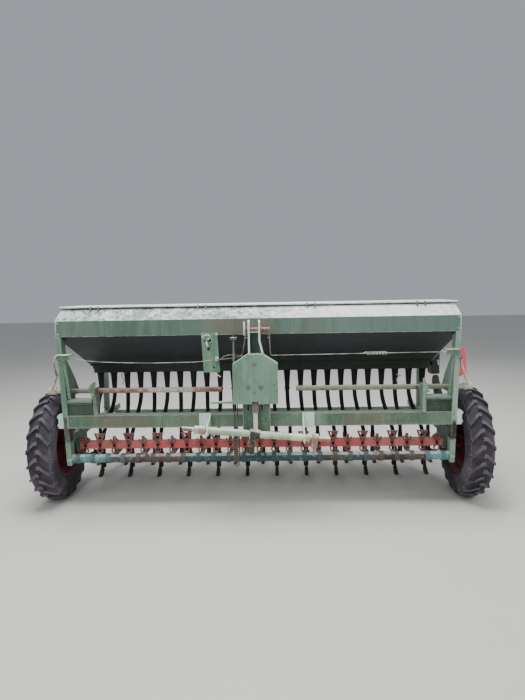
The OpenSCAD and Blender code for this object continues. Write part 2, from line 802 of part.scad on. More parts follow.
cover_x = head_x + 4;
cover_front = mast_front - cover_depth;

module cover_outline(inset) {
    half = cover_w / 2 - inset;
    tip = cover_w * 0.172 - inset / 2;
    shoulder = cover_top - 59;
    translate([cover_x, 0]) polygon([
        [-half, cover_bottom + inset], [half, cover_bottom + inset], [half, shoulder - inset / 2],
        [tip, cover_top - inset], [-tip, cover_top - inset], [-half, shoulder - inset / 2]
    ]);
}

module headstock_cover() {
    sheet = 4;
    tube_z = cover_bottom + 6;
    color(PALE) {
        difference() {
            plate_xz(cover_front, cover_depth - fit) cover_outline(0);
            plate_xz(cover_front + sheet, cover_depth) cover_outline(sheet);
            plate_xz(cover_front + sheet, cover_depth)
                translate([cover_x - cover_w / 2 + sheet, cover_bottom - 40]) square([cover_w - 2 * sheet, 60]);
            block([head_x + 1, cover_front, cover_bottom], [38, 20, 32]);
        }
        rod_x(cover_x - cover_w / 2 - 140, cover_x - cover_w / 2 + sheet, cover_front + 38, tube_z, 16);
    }
}

ear_t = 10;
ear_y = mast_front - 24;
pin_y = ear_y - 4;
pin_left = head_x - 56;
pin_right = head_x + 97;

// The right ear bends outwards at its foot
module ear_front(side) {
    inner = head_x + side * ear_gap / 2;
    outer = inner + side * ear_t;
    bend = side > 0 ? 18 : 0;
    knee = ear_bottom + 74;
    polygon([
        [inner, top_pin_z + 60], [outer, top_pin_z + 60], [outer, knee + 2], [outer + bend, ear_bottom],
        [inner + bend, ear_bottom], [inner, knee - 2]
    ]);
}

module top_link_ears() {
    top = top_pin_z + 58;
    color(PALE) for (side = [-1, 1]) difference() {
        intersection() {
            plate_xz(ear_y - 40, 80) ear_front(side);
            plate_yz(head_x - 100, 200) polygon([
                [ear_y - 30, ear_bottom], [mast_front - fit, ear_bottom], [mast_front - fit, top_pin_z - 34],
                [ear_y + 22, top - 8], [ear_y + 16, top], [ear_y - 20, top], [ear_y - 30, top - 12]
            ]);
        }
        rod_x(head_x - 80, head_x + 80, pin_y, top_pin_z, top_pin_d + 2 * bearing_gap);
    }
}

module top_link_pin() {
    color(RUST) {
        rod_x(pin_left, pin_right, pin_y, top_pin_z, top_pin_d);
        rod_x(pin_left - 6, pin_left + 0.5, pin_y, top_pin_z, top_pin_d + 12);
    }
}

bar_y = mast_y - 86;
bar_z = 538;
pin_len = 76;
bar_half = lower_pin_span / 2 - pin_len / 2;

// Children in the tilted bar's own frame
module on_bar() {
    translate([head_x, bar_y, bar_z]) rotate([0, bar_tilt, 0]) children();
}

module hitch_plates() {
    plate_w = 76;
    side_t = 8;
    ear_x = 299;
    z0 = beam_z - 48;
    z1 = beam_top + 10;
    color(PALE) for (side = [-1, 1]) {
        axis_z = bar_z - side * ear_x * tan(bar_tilt);
        plate_xz(beam_front - plate_t - fit, plate_t)
            translate([head_x + side * (ear_x - 4), z0]) mirror([side < 0 ? 1 : 0, 0]) square([plate_w, z1 - z0]);
        difference() {
            plate_yz(head_x + side * ear_x - side_t / 2, side_t) polygon([
                [beam_front - fit - 1, z1 - 14], [beam_front - fit - 1, z0 + 2], [bar_y + 18, axis_z - 32],
                [bar_y - 14, axis_z - 34], [bar_y - 30, axis_z - 16], [bar_y - 30, axis_z + 16],
                [bar_y - 12, axis_z + 34]
            ]);
            on_bar() rod_x(-500, 500, 0, 0, bar_d + 2 * fit);
        }
    }
}

module hitch_bar() {
    color(GREEN) on_bar() {
        rod_x(-302, 321, 0, 0, bar_d);
        rod_x(-bar_half - pin_len, bar_half + pin_len, 0, 0, lower_pin_d);
        rod_x(-bar_half, -bar_half + 35, 0, 0, bar_d + 6);
        for (x = [-347, -330]) rod_x(x, x + 15, 0, 0, bar_d + 10);
        rod_x(318, 331, 0, 0, bar_d + 8);
        rod_x(331, 349, 0, 0, lower_pin_d + 4);
        plate_yz(bar_half - 35, 35) difference() {
            union() {
                circle(d = bar_d + 16, $fn = 48);
                translate([-10, -62]) square([20, 60]);
            }
            circle(d = lower_pin_d - 4, $fn = 32);
        }
        plate_yz(bar_half - 24, 12) translate([6, -112]) square([16, 60]);
    }
}

module hitch_clamp() {
    joint_z = plate_top - 52;
    rod_foot = bar_z + bar_d / 2 + 4;
    rod_top = cover_bottom + 76;
    color(DARK_GREEN) difference() {
        union() {
            on_bar() block([-18, 0, -47], [34, bar_d + 14, 146]);
            on_bar() rod_x(-2, 26, 0, 0, bar_d + 14);
            translate([head_x - 13, bar_y - 7, rod_foot]) cube([26, 14, joint_z - rod_foot]);
            translate([head_x - 19, bar_y - 12, joint_z]) cube([37, 24, 50]);
            translate([head_x - 9, bar_y - 9, joint_z]) cube([18, 18, rod_top - joint_z]);
            translate([head_x - 9, bar_y, plate_top - 26])
                cube([18, mast_front - mast_plate_t - fit - bar_y, 24]);
        }
        on_bar() rod_x(-60, 60, 0, 0, bar_d + 2 * fit);
    }
}

module hanging_spring() {
    turns = 13;
    r = 22;
    x = head_x - 123;
    y = bar_y + bar_d / 2 + r + 6;
    top_z = bar_z - 31;
    hook_z = plate_top + 1;
    pitch = 12.4;
    color(GREEN) {
        translate([x, y, top_z - turns * pitch]) ridged_bar(turns, r, pitch, 5);
        translate([x, y, top_z - 2]) cylinder(h = hook_z - top_z + 2, d = 10, $fn = 24);
        translate([x, y, hook_z]) sphere(d = 14, $fn = 24);
        rod_x(x, head_x - mast_w / 2 - fit, y, hook_z, 10);
    }
}

// The wire rope's places in X and Z, from the post inwards to the top link pin
rope_left = [[-post_in + 5, rope_z], [-1137, rope_z - 4], [-980, rope_z - 25], [-666, rope_z - 36],
             [-384, rope_z - 34], [-214, rope_z - 18], [-146, rope_z - 12], [-88, rope_z]];
rope_right = [[post_in + 5, rope_z + 8], [885, rope_z + 7], [270, rope_z + 3], [88, rope_z + 2]];
function rope_point(p) = [p.x, rope_y, p.y];

module hanging_plate() {
    thick = 8;
    y0 = band_front_y - thick - fit;
    clip = [head_x - 237, lookup(head_x - 237, rope_left)];
    color(GREEN) difference() {
        union() {
            plate_xz(y0, thick) translate([head_x, band_bottom]) difference() {
                polygon([[-337, 12], [-236, 12], [-223, -237], [-325, -237]]);
                translate([-306, -40]) square([26, 16], center = true);
                translate([-262, -205]) circle(d = 14, $fn = 24);
            }
            translate([clip.x - 11, rope_y - 8, clip.y - 9]) cube([22, y0 - rope_y + 9, 18]);
        }
        strut(rope_point(rope_left[4]), rope_point(rope_left[5]), rope_d + 2 * fit);
    }
}

// Marker shafts with the levers that the rope pulls outside the posts
hub_out = post_out + 124;
lever_end_left = [-post_out - 42, marker_y - 50, marker_z + 115];
lever_end_right = [post_out + 13, marker_y - 90, marker_z + 181];

module marker_shaft(inner, tip) {
    color(GREEN) {
        rod_x(inner, hub_out, marker_y, marker_z, marker_d);
        rod_x(hub_out - 55, hub_out, marker_y, marker_z, marker_d + 12);
        strut([hub_out - 28, marker_y - 14, marker_z + 10], tip, lever_d);
        translate(tip) sphere(d = lever_d + 4, $fn = 24);
    }
}

module marker_shaft_right() {
    marker_shaft(250, lever_end_right);
}

module marker_shaft_left() {
    mirror([1, 0, 0]) marker_shaft(242, [-lever_end_left.x, lever_end_left.y, lever_end_left.z]);
}

// A plate on the beam's front edge with a bearing behind it; the left one leans
module marker_bracket(outline) {
    z0 = beam_top + fit;
    x0 = post_in - 190;
    front = beam_front + 4;
    plate_xz(front, plate_t) translate([x0, marker_z])
        polygon(concat([[outline[0], z0 - marker_z], [outline[0] + 21, z0 - marker_z]], outline[1]));
    difference() {
        plate_yz(x0 + 8, 12) polygon([
            [front + 1, marker_z - 28], [front + 1, z0], [beam_back - 4, z0], [marker_y + 26, marker_z - 24],
            [marker_y + 26, marker_z + 26], [front + 1, marker_z + 26]
        ]);
        rod_x(x0, x0 + 100, marker_y, marker_z, marker_d + 2 * fit);
    }
}

module marker_brackets() {
    color(GREEN) {
        marker_bracket([4, [[25, -30], [30, -23], [43, 3], [14, 68], [4, 68]]]);
        mirror([1, 0, 0]) marker_bracket([-9, [
            [22, -44], [31, -12], [48, 19], [33, 55], [0, 77], [-2, 48], [12, 10], [1, -44]
        ]]);
    }
}

module rope_brackets() {
    reach = 76;
    front = rope_y - 14;
    back = post_front(flange_z) - fit;
    color(GREEN) both_sides() difference() {
        union() {
            translate([post_in - reach, front, flange_z]) cube([reach + 9, back - front, flange_t]);
            translate([post_in - 2, front, rope_z - 16]) cube([8, back - front, flange_z - rope_z + 17]);
            translate([post_in - reach, front, rope_z - 8]) cube([reach + 9, 5, flange_z - rope_z + 9]);
        }
        rod_x(post_in - 4, post_in + 10, rope_y, rope_z, rope_d + 2 * fit);
        rod_x(post_in - 4, post_in + 10, rope_y, rope_z + 8, rope_d + 2 * fit);
    }
}

// Two wire ropes from the top link pin over the posts down to the levers, each with an eye round the pin
module wire_rope() {
    eye_w = 6;
    eye_in = top_pin_d + 2 * fit;
    top_eye = top_pin_z - eye_in / 2 - 4;
    left = [for (i = [len(rope_left) - 1:-1:0]) rope_point(rope_left[i])];
    right = [for (i = [len(rope_right) - 1:-1:0]) rope_point(rope_right[i])];
    slack = lever_d / 2 + 2 + fit;
    color(STEEL) {
        swept(concat([[pin_left + 6, pin_y, top_eye]], left,
            [[-post_out - 3, rope_y, rope_z - 2], lever_end_left - [0, slack, 0]]), rope_d, 8, false);
        swept(concat([[pin_right - 6, pin_y, top_eye]], right,
            [[post_out + 3, rope_y, rope_z + 6], lever_end_right - [0, slack, 0]]), rope_d, 8, false);
        for (x = [pin_left + 3, pin_right - 9]) difference() {
            rod_x(x, x + eye_w, pin_y, top_pin_z, eye_in + 10);
            rod_x(x - 1, x + eye_w + 1, pin_y, top_pin_z, eye_in);
        }
    }
}

module rear_step() {
    step_y = rail_end_y - 74;
    step_t = 6;
    top = rail_bottom - fit;
    color(GREEN) plate_yz(-post_out, 2 * post_out) polygon([
        [step_y, top], [rail_end_y, top], [rail_end_y, top - step_h], [rail_end_y - step_t, top - step_h],
        [rail_end_y - step_t, top - step_t], [step_y + step_t, top - step_t], [step_y + step_t, top - step_h],
        [step_y, top - step_h]
    ]);
}

// A red folded plate on the right post
module drive_guard() {
    z0 = band_bottom - 318;
    z1 = band_bottom - 118;
    thick = 4;
    y1 = post_back(z0) + 16;
    color(RED) {
        translate([post_out + fit, y1 - 50, z0]) cube([thick, 50, z1 - z0]);
        plate_xz(y1 - thick, thick) translate([post_out + fit, 0])
            polygon([[0, z0], [77, z0 + 38], [70, z1], [0, z1]]);
    }
}

// The chain case from the wheel to the metering gear, clear of the tyre
case_x = post_out + 10;
case_w = 26;

module chain_case() {
    room = housing + 2 * fit;
    color(DARK_GREEN) difference() {
        plate_yz(case_x, case_w) hull() {
            translate([axle_y, axle_z]) circle(r = 70, $fn = 48);
            translate([trough_y - 60, trough_z - 150]) circle(r = 48, $fn = 48);
        }
        block([case_x + case_w / 2, axle_y, axle_z], [2 * case_w, room, room]);
    }
}

module metering_gear() {
    x0 = hopper_x + fit;
    z0 = trough_z - 98;
    z1 = trough_z + 96;
    front = trough_y - 66;
    back = trough_y + 72;
    color(DARK_GREEN) difference() {
        plate_yz(x0, gear_w) polygon([
            [front, z0 + 16], [front + 26, z0], [back - 22, z0], [back, z0 + 20],
            [back, z1 - 26], [back - 32, z1], [front + 26, z1], [front, z1 - 26]
        ]);
        rod_x(x0 - 1, x0 + gear_w + 1, trough_y, meter_shaft_z, meter_shaft_d + 2 * bearing_gap);
    }
}

main_beam();
beam_end_plates();
mirror([1, 0, 0]) side_post();  // side_post_left
side_post();  // side_post_right
mirror([1, 0, 0]) side_rail();  // side_rail_left
side_rail();  // side_rail_right
rear_posts();
end_boxes();
front_stays();
mirror([1, 0, 0]) stub_axle();  // stub_axle_left
stub_axle();  // stub_axle_right
translate([-wheel_x, 0, 0]) mirror([1, 0, 0]) tyre();  // tyre_left
translate([-wheel_x, 0, 0]) mirror([1, 0, 0]) rim();  // rim_left
translate([wheel_x, 0, 0]) tyre();  // tyre_right
translate([wheel_x, 0, 0]) rim();  // rim_right
hopper_front();
hopper_rear();
hopper_trough();
mirror([1, 0, 0]) hopper_end();  // hopper_end_left
hopper_end();  // hopper_end_right
lid();
lid_hinges();
agitator_shaft();
metering_units();
metering_shaft();
seed_funnels();
seed_tubes();
pivot_tube();
pressure_rail();
spring_hangers();
pressure_springs();
coulter_arms_front();
coulter_arms_rear();
shares_front();
shares_rear();
headstock_mast();
headstock_cover();
top_link_ears();
top_link_pin();
hitch_plates();
hitch_bar();
hitch_clamp();
hanging_spring();
hanging_plate();
marker_shaft_left();
marker_shaft_right();
marker_brackets();
rope_brackets();
wire_rope();
rear_step();
drive_guard();
chain_case();
metering_gear();
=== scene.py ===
import json
import math

import bmesh
import bpy
from mathutils import Matrix, Vector


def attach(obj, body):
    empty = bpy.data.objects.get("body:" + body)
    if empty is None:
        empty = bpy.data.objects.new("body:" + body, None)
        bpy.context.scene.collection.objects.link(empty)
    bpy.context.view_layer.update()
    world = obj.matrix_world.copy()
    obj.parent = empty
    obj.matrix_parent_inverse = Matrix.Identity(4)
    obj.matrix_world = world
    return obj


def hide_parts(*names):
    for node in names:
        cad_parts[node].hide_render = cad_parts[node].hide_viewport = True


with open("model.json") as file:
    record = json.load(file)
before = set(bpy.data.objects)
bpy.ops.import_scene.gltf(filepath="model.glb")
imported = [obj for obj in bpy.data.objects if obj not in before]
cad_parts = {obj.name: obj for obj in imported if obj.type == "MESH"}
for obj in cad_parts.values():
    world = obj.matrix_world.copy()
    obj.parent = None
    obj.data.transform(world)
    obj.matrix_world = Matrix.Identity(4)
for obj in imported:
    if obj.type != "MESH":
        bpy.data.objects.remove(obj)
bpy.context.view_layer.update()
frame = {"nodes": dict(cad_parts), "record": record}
NODES = frame["nodes"]

# The camera: angles in degrees, place in metres, focal length in pixels of the 525 x 700 picture
CAM_YAW, CAM_PITCH, CAM_ROLL = 1.508, 5.695, -1.005
CAM_PLACE = (0.1238, -3.8215, 1.3781)
FOCAL_PX = 527.1
IMAGE_LONG_PX = 700.0
SENSOR_MM = 36.0
CLIP_NEAR, CLIP_FAR = 0.05, 100

# Places of the frame in millimetres, as the CAD has them
MM = 0.001
AXLE_Y, AXLE_Z = -228, 375
POST_IN, POST_OUT = 1242, 1272
HOPPER_X = 1270
WHEEL_X = 1412
BEAM_FRONT, BEAM_BACK, BEAM_Z, BEAM_S = -479.1, -397.1, 589, 82
BEAM_TOP, BEAM_MID_Y = BEAM_Z + BEAM_S / 2, BEAM_FRONT + BEAM_S / 2
END_PLATE_X, PLATE_FRONT = POST_OUT + 32.3, BEAM_FRONT - 8.3
MARKER_Y, MARKER_Z = AXLE_Y - 160, BEAM_TOP + 150
BAND_FRONT_Y, BAND_REAR_Y = AXLE_Y - 300, AXLE_Y + 620
BAND_TOP, BAND_BOTTOM = 1250, 1150
HOPPER_TOP = 1322
LID_FRONT_Y, LID_REAR_Y = AXLE_Y - 180, AXLE_Y + 500
TROUGH_Y, TROUGH_Z, TROUGH_HALF, TROUGH_EDGE = AXLE_Y + 345, 890, 55, 902
METER_BOTTOM, FUNNEL_BOTTOM = 840, 691
PRESSURE_FRONT, PRESSURE_Z = AXLE_Y - 70, 384
HANGER_FRONT = PRESSURE_FRONT - 8.3
PIVOT_Y, PIVOT_Z = AXLE_Y - 200, 331
ROPE_Y, ROPE_Z = AXLE_Y - 345, 1018
HEAD_X, MAST_FRONT = -10, AXLE_Y - 366
COVER_FRONT, COVER_X = MAST_FRONT - 78, HEAD_X + 4
TOP_PIN_Y, TOP_PIN_Z = MAST_FRONT - 28, 1184
BAR_Y, BAR_Z = AXLE_Y - 406, 538
STEP_Y, STEP_TOP = AXLE_Y + 863, 441.7
BAND_BOLT_X, REAR_POST_Y = 1256, AXLE_Y + 590
SHARE_TOP, BOOT_TOP = 168, 236.3
STUDS_R = 62
ROWS = range(-12, 13)
METER_PITCH, ARM_PITCH, ROW_PITCH = 101, 100, 3000 / 26
FRONT_RANK, REAR_RANK = AXLE_Y + 450, AXLE_Y + 740
OUTER_ROW = 12

# Radii on the tyre in metres, each pair the low and high end of a band; the groove bands hold painted shade
LUG_TOP = (0.3705, 0.373)
GROOVE_IN, GROOVE_OUT = (0.335, 0.345), (0.366, 0.356)
RIDGES_IN, RIDGES_OUT, RIDGE_PITCH, RIDGE = (0.235, 0.24), (0.285, 0.28), 0.011, (0.004, 0.0)
# Heights of the hopper's shoulder in metres, over which its dust and painted top light fade in
SHOULDER = (1.236, 1.25)

SIDES = (-1, 1)
X, Y, Z = Vector((1, 0, 0)), Vector((0, 1, 0)), Vector((0, 0, 1))

# Tones that several looks share; every colour here is sRGB, 0 to 255
RUSTY = (104, 66, 46)
RUST_DARK = (62, 42, 34)
DUST = (200, 206, 194)
MINT = (206, 226, 212)
BROWN_GREY = (112, 96, 78)
GAMMA = 2.2


def vec(x, y, z):
    """A point or a direction."""
    return Vector((x, y, z))


def show(name, data):
    """A new object in the scene."""
    obj = bpy.data.objects.new(name, data)
    bpy.context.scene.collection.objects.link(obj)
    return obj


def camera():
    """The camera, in the photo's place."""
    yaw, pitch, roll = (math.radians(a) for a in (CAM_YAW, CAM_PITCH, CAM_ROLL))
    look = vec(-math.sin(yaw) * math.cos(pitch), math.cos(yaw) * math.cos(pitch), -math.sin(pitch))
    right = vec(math.cos(yaw), math.sin(yaw), 0)
    up = right.cross(look)
    r = right * math.cos(roll) + up * math.sin(roll)
    u = -right * math.sin(roll) + up * math.cos(roll)
    cam = show("camera", bpy.data.cameras.new("camera"))
    cam.data.sensor_width = SENSOR_MM
    cam.data.lens = FOCAL_PX * SENSOR_MM / IMAGE_LONG_PX
    cam.matrix_world = Matrix.Translation(CAM_PLACE) @ Matrix((r, u, -look)).transposed().to_4x4()
    cam.data.clip_start, cam.data.clip_end = CLIP_NEAR, CLIP_FAR
    bpy.context.scene.camera = cam


class Shader:
    """A node material with short calls for the nodes used here."""

    SEED_SHIFT = (1, 1.7, 0.6)
    WOBBLE = 0.0035
    EDGE_DOTS = (0.985, 0.88)
    BUMP = 0.7

    def __init__(self, name):
        self.mat = bpy.data.materials.new(name)
        self.mat.use_nodes = True
        self.tree = self.mat.node_tree
        self.tree.nodes.clear()
        self.bsdf = self.node("ShaderNodeBsdfPrincipled")
        self.link(self.bsdf.outputs[0], self.node("ShaderNodeOutputMaterial").inputs[0])
        self.coord = self.node("ShaderNodeTexCoord").outputs["Object"]

    def node(self, kind, **props):
        n = self.tree.nodes.new(kind)
        for k, v in props.items():
            setattr(n, k, v)
        return n

    def link(self, a, b):
        self.tree.links.new(a, b)

    def put(self, socket, value):
        """Links an output to a socket, or sets the socket to a number or a colour."""
        if hasattr(value, "links"):
            self.link(value, socket)
        elif isinstance(value, tuple):
            socket.default_value = tuple((c / 255) ** GAMMA for c in value) + (1.0,)
        else:
            socket.default_value = value

    def noise(self, scale, detail=4.0, rough=0.6, seed=0.0, stretch=(1, 1, 1)):
        m = self.node("ShaderNodeMapping")
        self.link(self.coord, m.inputs["Vector"])
        m.inputs["Scale"].default_value = stretch
        m.inputs["Location"].default_value = [seed * k for k in self.SEED_SHIFT]
        n = self.node("ShaderNodeTexNoise")
        self.link(m.outputs[0], n.inputs["Vector"])
        for name, value in (("Scale", scale), ("Detail", detail), ("Roughness", rough)):
            n.inputs[name].default_value = value
        return n.outputs["Fac"]

    def band(self, value, low, high):
        """0 below low, 1 above high; the other way round where low is more than high."""
        n = self.node("ShaderNodeMapRange", interpolation_type="SMOOTHSTEP")
        self.put(n.inputs["Value"], value)
        ends = (high, low, 1.0, 0.0) if low > high else (low, high, 0.0, 1.0)
        for name, end in zip(("From Min", "From Max", "To Min", "To Max"), ends):
            n.inputs[name].default_value = end
        return n.outputs[0]

    def spots(self, low, high, *noise):
        """A band of a noise: its scale, detail, roughness, seed and stretch."""
        return self.band(self.noise(*noise), low, high)

    def math(self, op, a, b=0.0, clamp=False):
        n = self.node("ShaderNodeMath", operation=op, use_clamp=clamp)
        self.put(n.inputs[0], a)
        self.put(n.inputs[1], b)
        return n.outputs[0]

    def mul(self, a, b):
        """The product, kept within 0 and 1."""
        return self.math("MULTIPLY", a, b, True)

    def add(self, a, b):
        """The sum, kept within 0 and 1."""
        return self.math("ADD", a, b, True)

    def mix(self, fac, a, b):
        n = self.node("ShaderNodeMix", data_type="RGBA")
        for name, value in (("Factor", fac), ("A", a), ("B", b)):
            self.put(n.inputs[name], value)
        return n.outputs["Result"]

    def over(self, colour, tone, where, share):
        """The tone over the colour, as far as the product of where and share goes."""
        return self.mix(self.mul(where, share), colour, tone)

    def part(self, vector, axis):
        s = self.node("ShaderNodeSeparateXYZ")
        self.link(vector, s.inputs[0])
        return s.outputs[axis]

    def normal(self):
        return self.node("ShaderNodeNewGeometry").outputs["Normal"]

    def slope(self, low, high):
        """A band of how far a face looks up, from -1 to 1."""
        return self.band(self.part(self.normal(), "Z"), low, high)

    def span(self, axis, low, high, blur, wobble=None):
        """1 between two places in millimetres along an axis, with soft ends; wobble moves them."""
        at = self.part(self.coord, axis)
        if wobble is not None:
            at = self.math("ADD", at, wobble)
        low, high, blur = low * MM, high * MM, blur * MM
        return self.mul(self.band(at, low - blur, low + blur), self.band(at, high + blur, high - blur))

    def spans(self, span, seed):
        """One span, or two that both hold, given as axis, low, high and blur one after the other."""
        noise = self.math("SUBTRACT", self.noise(11, 5, 0.6, seed + 7), 0.5)
        shares = []
        for axis, low, high, blur in (span[i:i + 4] for i in range(0, len(span), 4)):
            shares.append(self.span(axis, low, high, blur, self.math("MULTIPLY", noise, blur * self.WOBBLE)))
        return shares[0] if len(shares) == 1 else self.mul(*shares)

    def edge(self, radius):
        """Near 1 along sharp edges."""
        bevel = self.node("ShaderNodeBevel", samples=3)
        bevel.inputs["Radius"].default_value = radius
        dot = self.node("ShaderNodeVectorMath", operation="DOT_PRODUCT")
        self.link(bevel.outputs[0], dot.inputs[0])
        self.link(self.normal(), dot.inputs[1])
        return self.band(dot.outputs["Value"], *self.EDGE_DOTS)

    def finish(self, colour, rough, bump=None, depth=0.001, metallic=0.0):
        """Fills the surface's sockets; depth is the bump's, in metres."""
        self.put(self.bsdf.inputs["Base Color"], colour)
        self.put(self.bsdf.inputs["Roughness"], rough)
        self.bsdf.inputs["Metallic"].default_value = metallic
        if bump is not None:
            b = self.node("ShaderNodeBump")
            b.inputs["Strength"].default_value = self.BUMP
            b.inputs["Distance"].default_value = depth
            self.link(bump, b.inputs["Height"])
            self.link(b.outputs[0], self.bsdf.inputs["Normal"])
        return self.mat


def paint(name, base, other, bare, dust, seed, wear=0.3, streak=0.4, top=0.75, edge=0.6, zones=(), grime=0.35,
          pits=0.4):
    """Old paint: two tones, rain streaks, chipped and rusty patches, pale edges of dust and painted highlight, dust and
    painted top light on what faces up.

    zones are (axis, low, high, blur, colour, share): stretches in millimetres with a tone of their own. A second
    span may come before the colour, as four more values, where the tone only shows inside both.
    """
    s = Shader(name)
    fine = s.noise(22, 7, 0.68, seed + 3)
    colour = s.mix(s.spots(0.38, 0.62, 1.9, 3, 0.5, seed), base, other)
    for *span, tone, share in zones:
        colour = s.over(colour, tone, s.spans(span, seed), s.add(share - 0.35, s.mul(fine, 0.7)))
    # Pale runs, dark drips, specks of dust and rusty pits
    for tone, share, *spots in (
            (s.mix(0.5, other, dust), streak, 0.46, 0.74, 7, 6, 0.66, seed + 5, (3.0, 3.0, 0.42)),
            (RUST_DARK, grime, 0.56, 0.7, 13, 5, 0.6, seed + 15, (4.2, 4.2, 0.22)),
            (dust, 0.35, 0.62, 0.7, 120, 3, 0.6, seed + 21),
            (RUST_DARK, pits, 0.6, 0.66, 75, 4, 0.65, seed + 25)):
        colour = s.over(colour, tone, s.spots(*spots), share)
    chips = s.noise(16, 9, 0.72, seed + 9)
    low = 0.7 - 0.16 * wear
    patch = s.band(chips, low, low + 0.025)
    colour = s.over(colour, bare, s.band(chips, low - 0.07, low), 0.35)
    colour = s.over(colour, s.mix(s.band(fine, 0.4, 0.6), bare, RUST_DARK), patch, 0.9)
    # Pale edges in the dust tone: dust, and a painted highlight along the edges
    edge_dust_and_highlight = s.mul(s.edge(0.004), s.spots(0.34, 0.55, 34, 4, 0.6, seed + 12))
    colour = s.over(colour, dust, edge_dust_and_highlight, edge)
    # The dust tone on faces that look up: dust, and painted top light
    colour = s.over(colour, dust, s.slope(0.35, 0.95), s.add(top - 0.25, s.mul(fine, 0.5)))
    roughness = s.add(s.mul(fine, 0.35), s.add(0.39, s.mul(patch, 0.3)))
    dents = s.math("MULTIPLY", s.noise(3.2, 2, 0.5, seed + 18), 3.0)
    relief = s.math("SUBTRACT", s.math("ADD", dents, s.mul(fine, 0.35)), s.mul(patch, 0.4))
    return s.finish(colour, roughness, relief, depth=0.0011)


def rubber(name, base, dust, seed, rings=False, share=0.6):
    """Dry rubber with dust in clouds; rings adds worn lug tops, pale lug edges of dust and painted highlight, painted
    shade in the tread grooves and moulded ridges round the wheel's axle.
    """
    s = Shader(name)
    fine = s.noise(26, 6, 0.7, seed)
    colour = s.over(base, dust, s.spots(0.4, 0.68, 5, 4, 0.6, seed + 2), share)
    colour = s.over(colour, dust, s.band(fine, 0.5, 0.8), 0.4)
    colour = s.over(colour, dust, s.spots(0.6, 0.68, 60, 6, 0.75, seed + 6), 0.45)
    relief = s.math("MULTIPLY", fine, 0.6)
    if rings:
        # Pale edges: dust, and a painted highlight
        colour = s.over(colour, s.mix(0.5, dust, (190, 184, 186)), s.edge(0.006), 0.55)
        dy = s.math("ADD", s.part(s.coord, "Y"), -AXLE_Y * MM)
        dz = s.math("SUBTRACT", s.part(s.coord, "Z"), AXLE_Z * MM)
        radius = s.math("SQRT", s.math("ADD", s.math("MULTIPLY", dy, dy), s.math("MULTIPLY", dz, dz)))
        colour = s.over(colour, s.mix(0.5, dust, (140, 134, 142)), s.band(radius, *LUG_TOP), 0.35)
        # Painted shade in the tread grooves
        groove_shade = s.mul(s.band(radius, *GROOVE_IN), s.band(radius, *GROOVE_OUT))
        colour = s.over(colour, (28, 26, 32), groove_shade, 0.2)
        ridge = s.band(s.math("PINGPONG", radius, RIDGE_PITCH), *RIDGE)
        wall = s.mul(s.band(radius, *RIDGES_IN), s.band(radius, *RIDGES_OUT))
        relief = s.math("ADD", relief, s.math("MULTIPLY", s.mul(ridge, wall), 1.6))
    return s.finish(colour, s.add(s.mul(fine, 0.25), 0.62), relief, depth=0.0016)


def steel(name, base, dark, seed, metallic=0.6):
    """Bare steel with dark and rusty patches."""
    s = Shader(name)
    fine = s.noise(30, 6, 0.7, seed)
    colour = s.mix(s.spots(0.45, 0.62, 14, 7, 0.7, seed + 4), base, dark)
    colour = s.mix(s.spots(0.58, 0.66, 40, 6, 0.7, seed + 8), colour, RUSTY)
    return s.finish(colour, s.add(s.mul(fine, 0.3), 0.35), fine, depth=0.0006, metallic=metallic)


def rust(name, base, light, dark, seed, zones=(), flecks=0.6):
    """Scaly rust in three tones, the light one also on faces that look up as painted top light; zones as in paint."""
    s = Shader(name)
    fine = s.noise(38, 8, 0.75, seed)
    colour = s.mix(s.spots(0.42, 0.62, 9, 7, 0.7, seed + 1), base, dark)
    for *span, tone, share in zones:
        patchy = s.add(share - 0.4, s.mul(s.band(fine, 0.36, 0.6), 0.6))
        colour = s.over(colour, tone, s.spans(span, seed), patchy)
    colour = s.over(colour, light, s.band(fine, 0.52, 0.72), flecks)
    # Painted top light: the light tone on faces that look up
    up = s.mul(s.slope(0.45, 0.8), s.spots(0.35, 0.5, 30, 5, 0.7, seed + 3))
    colour = s.over(colour, light, up, 0.7)
    return s.finish(colour, s.add(s.mul(fine, 0.25), 0.6), fine, depth=0.0018)


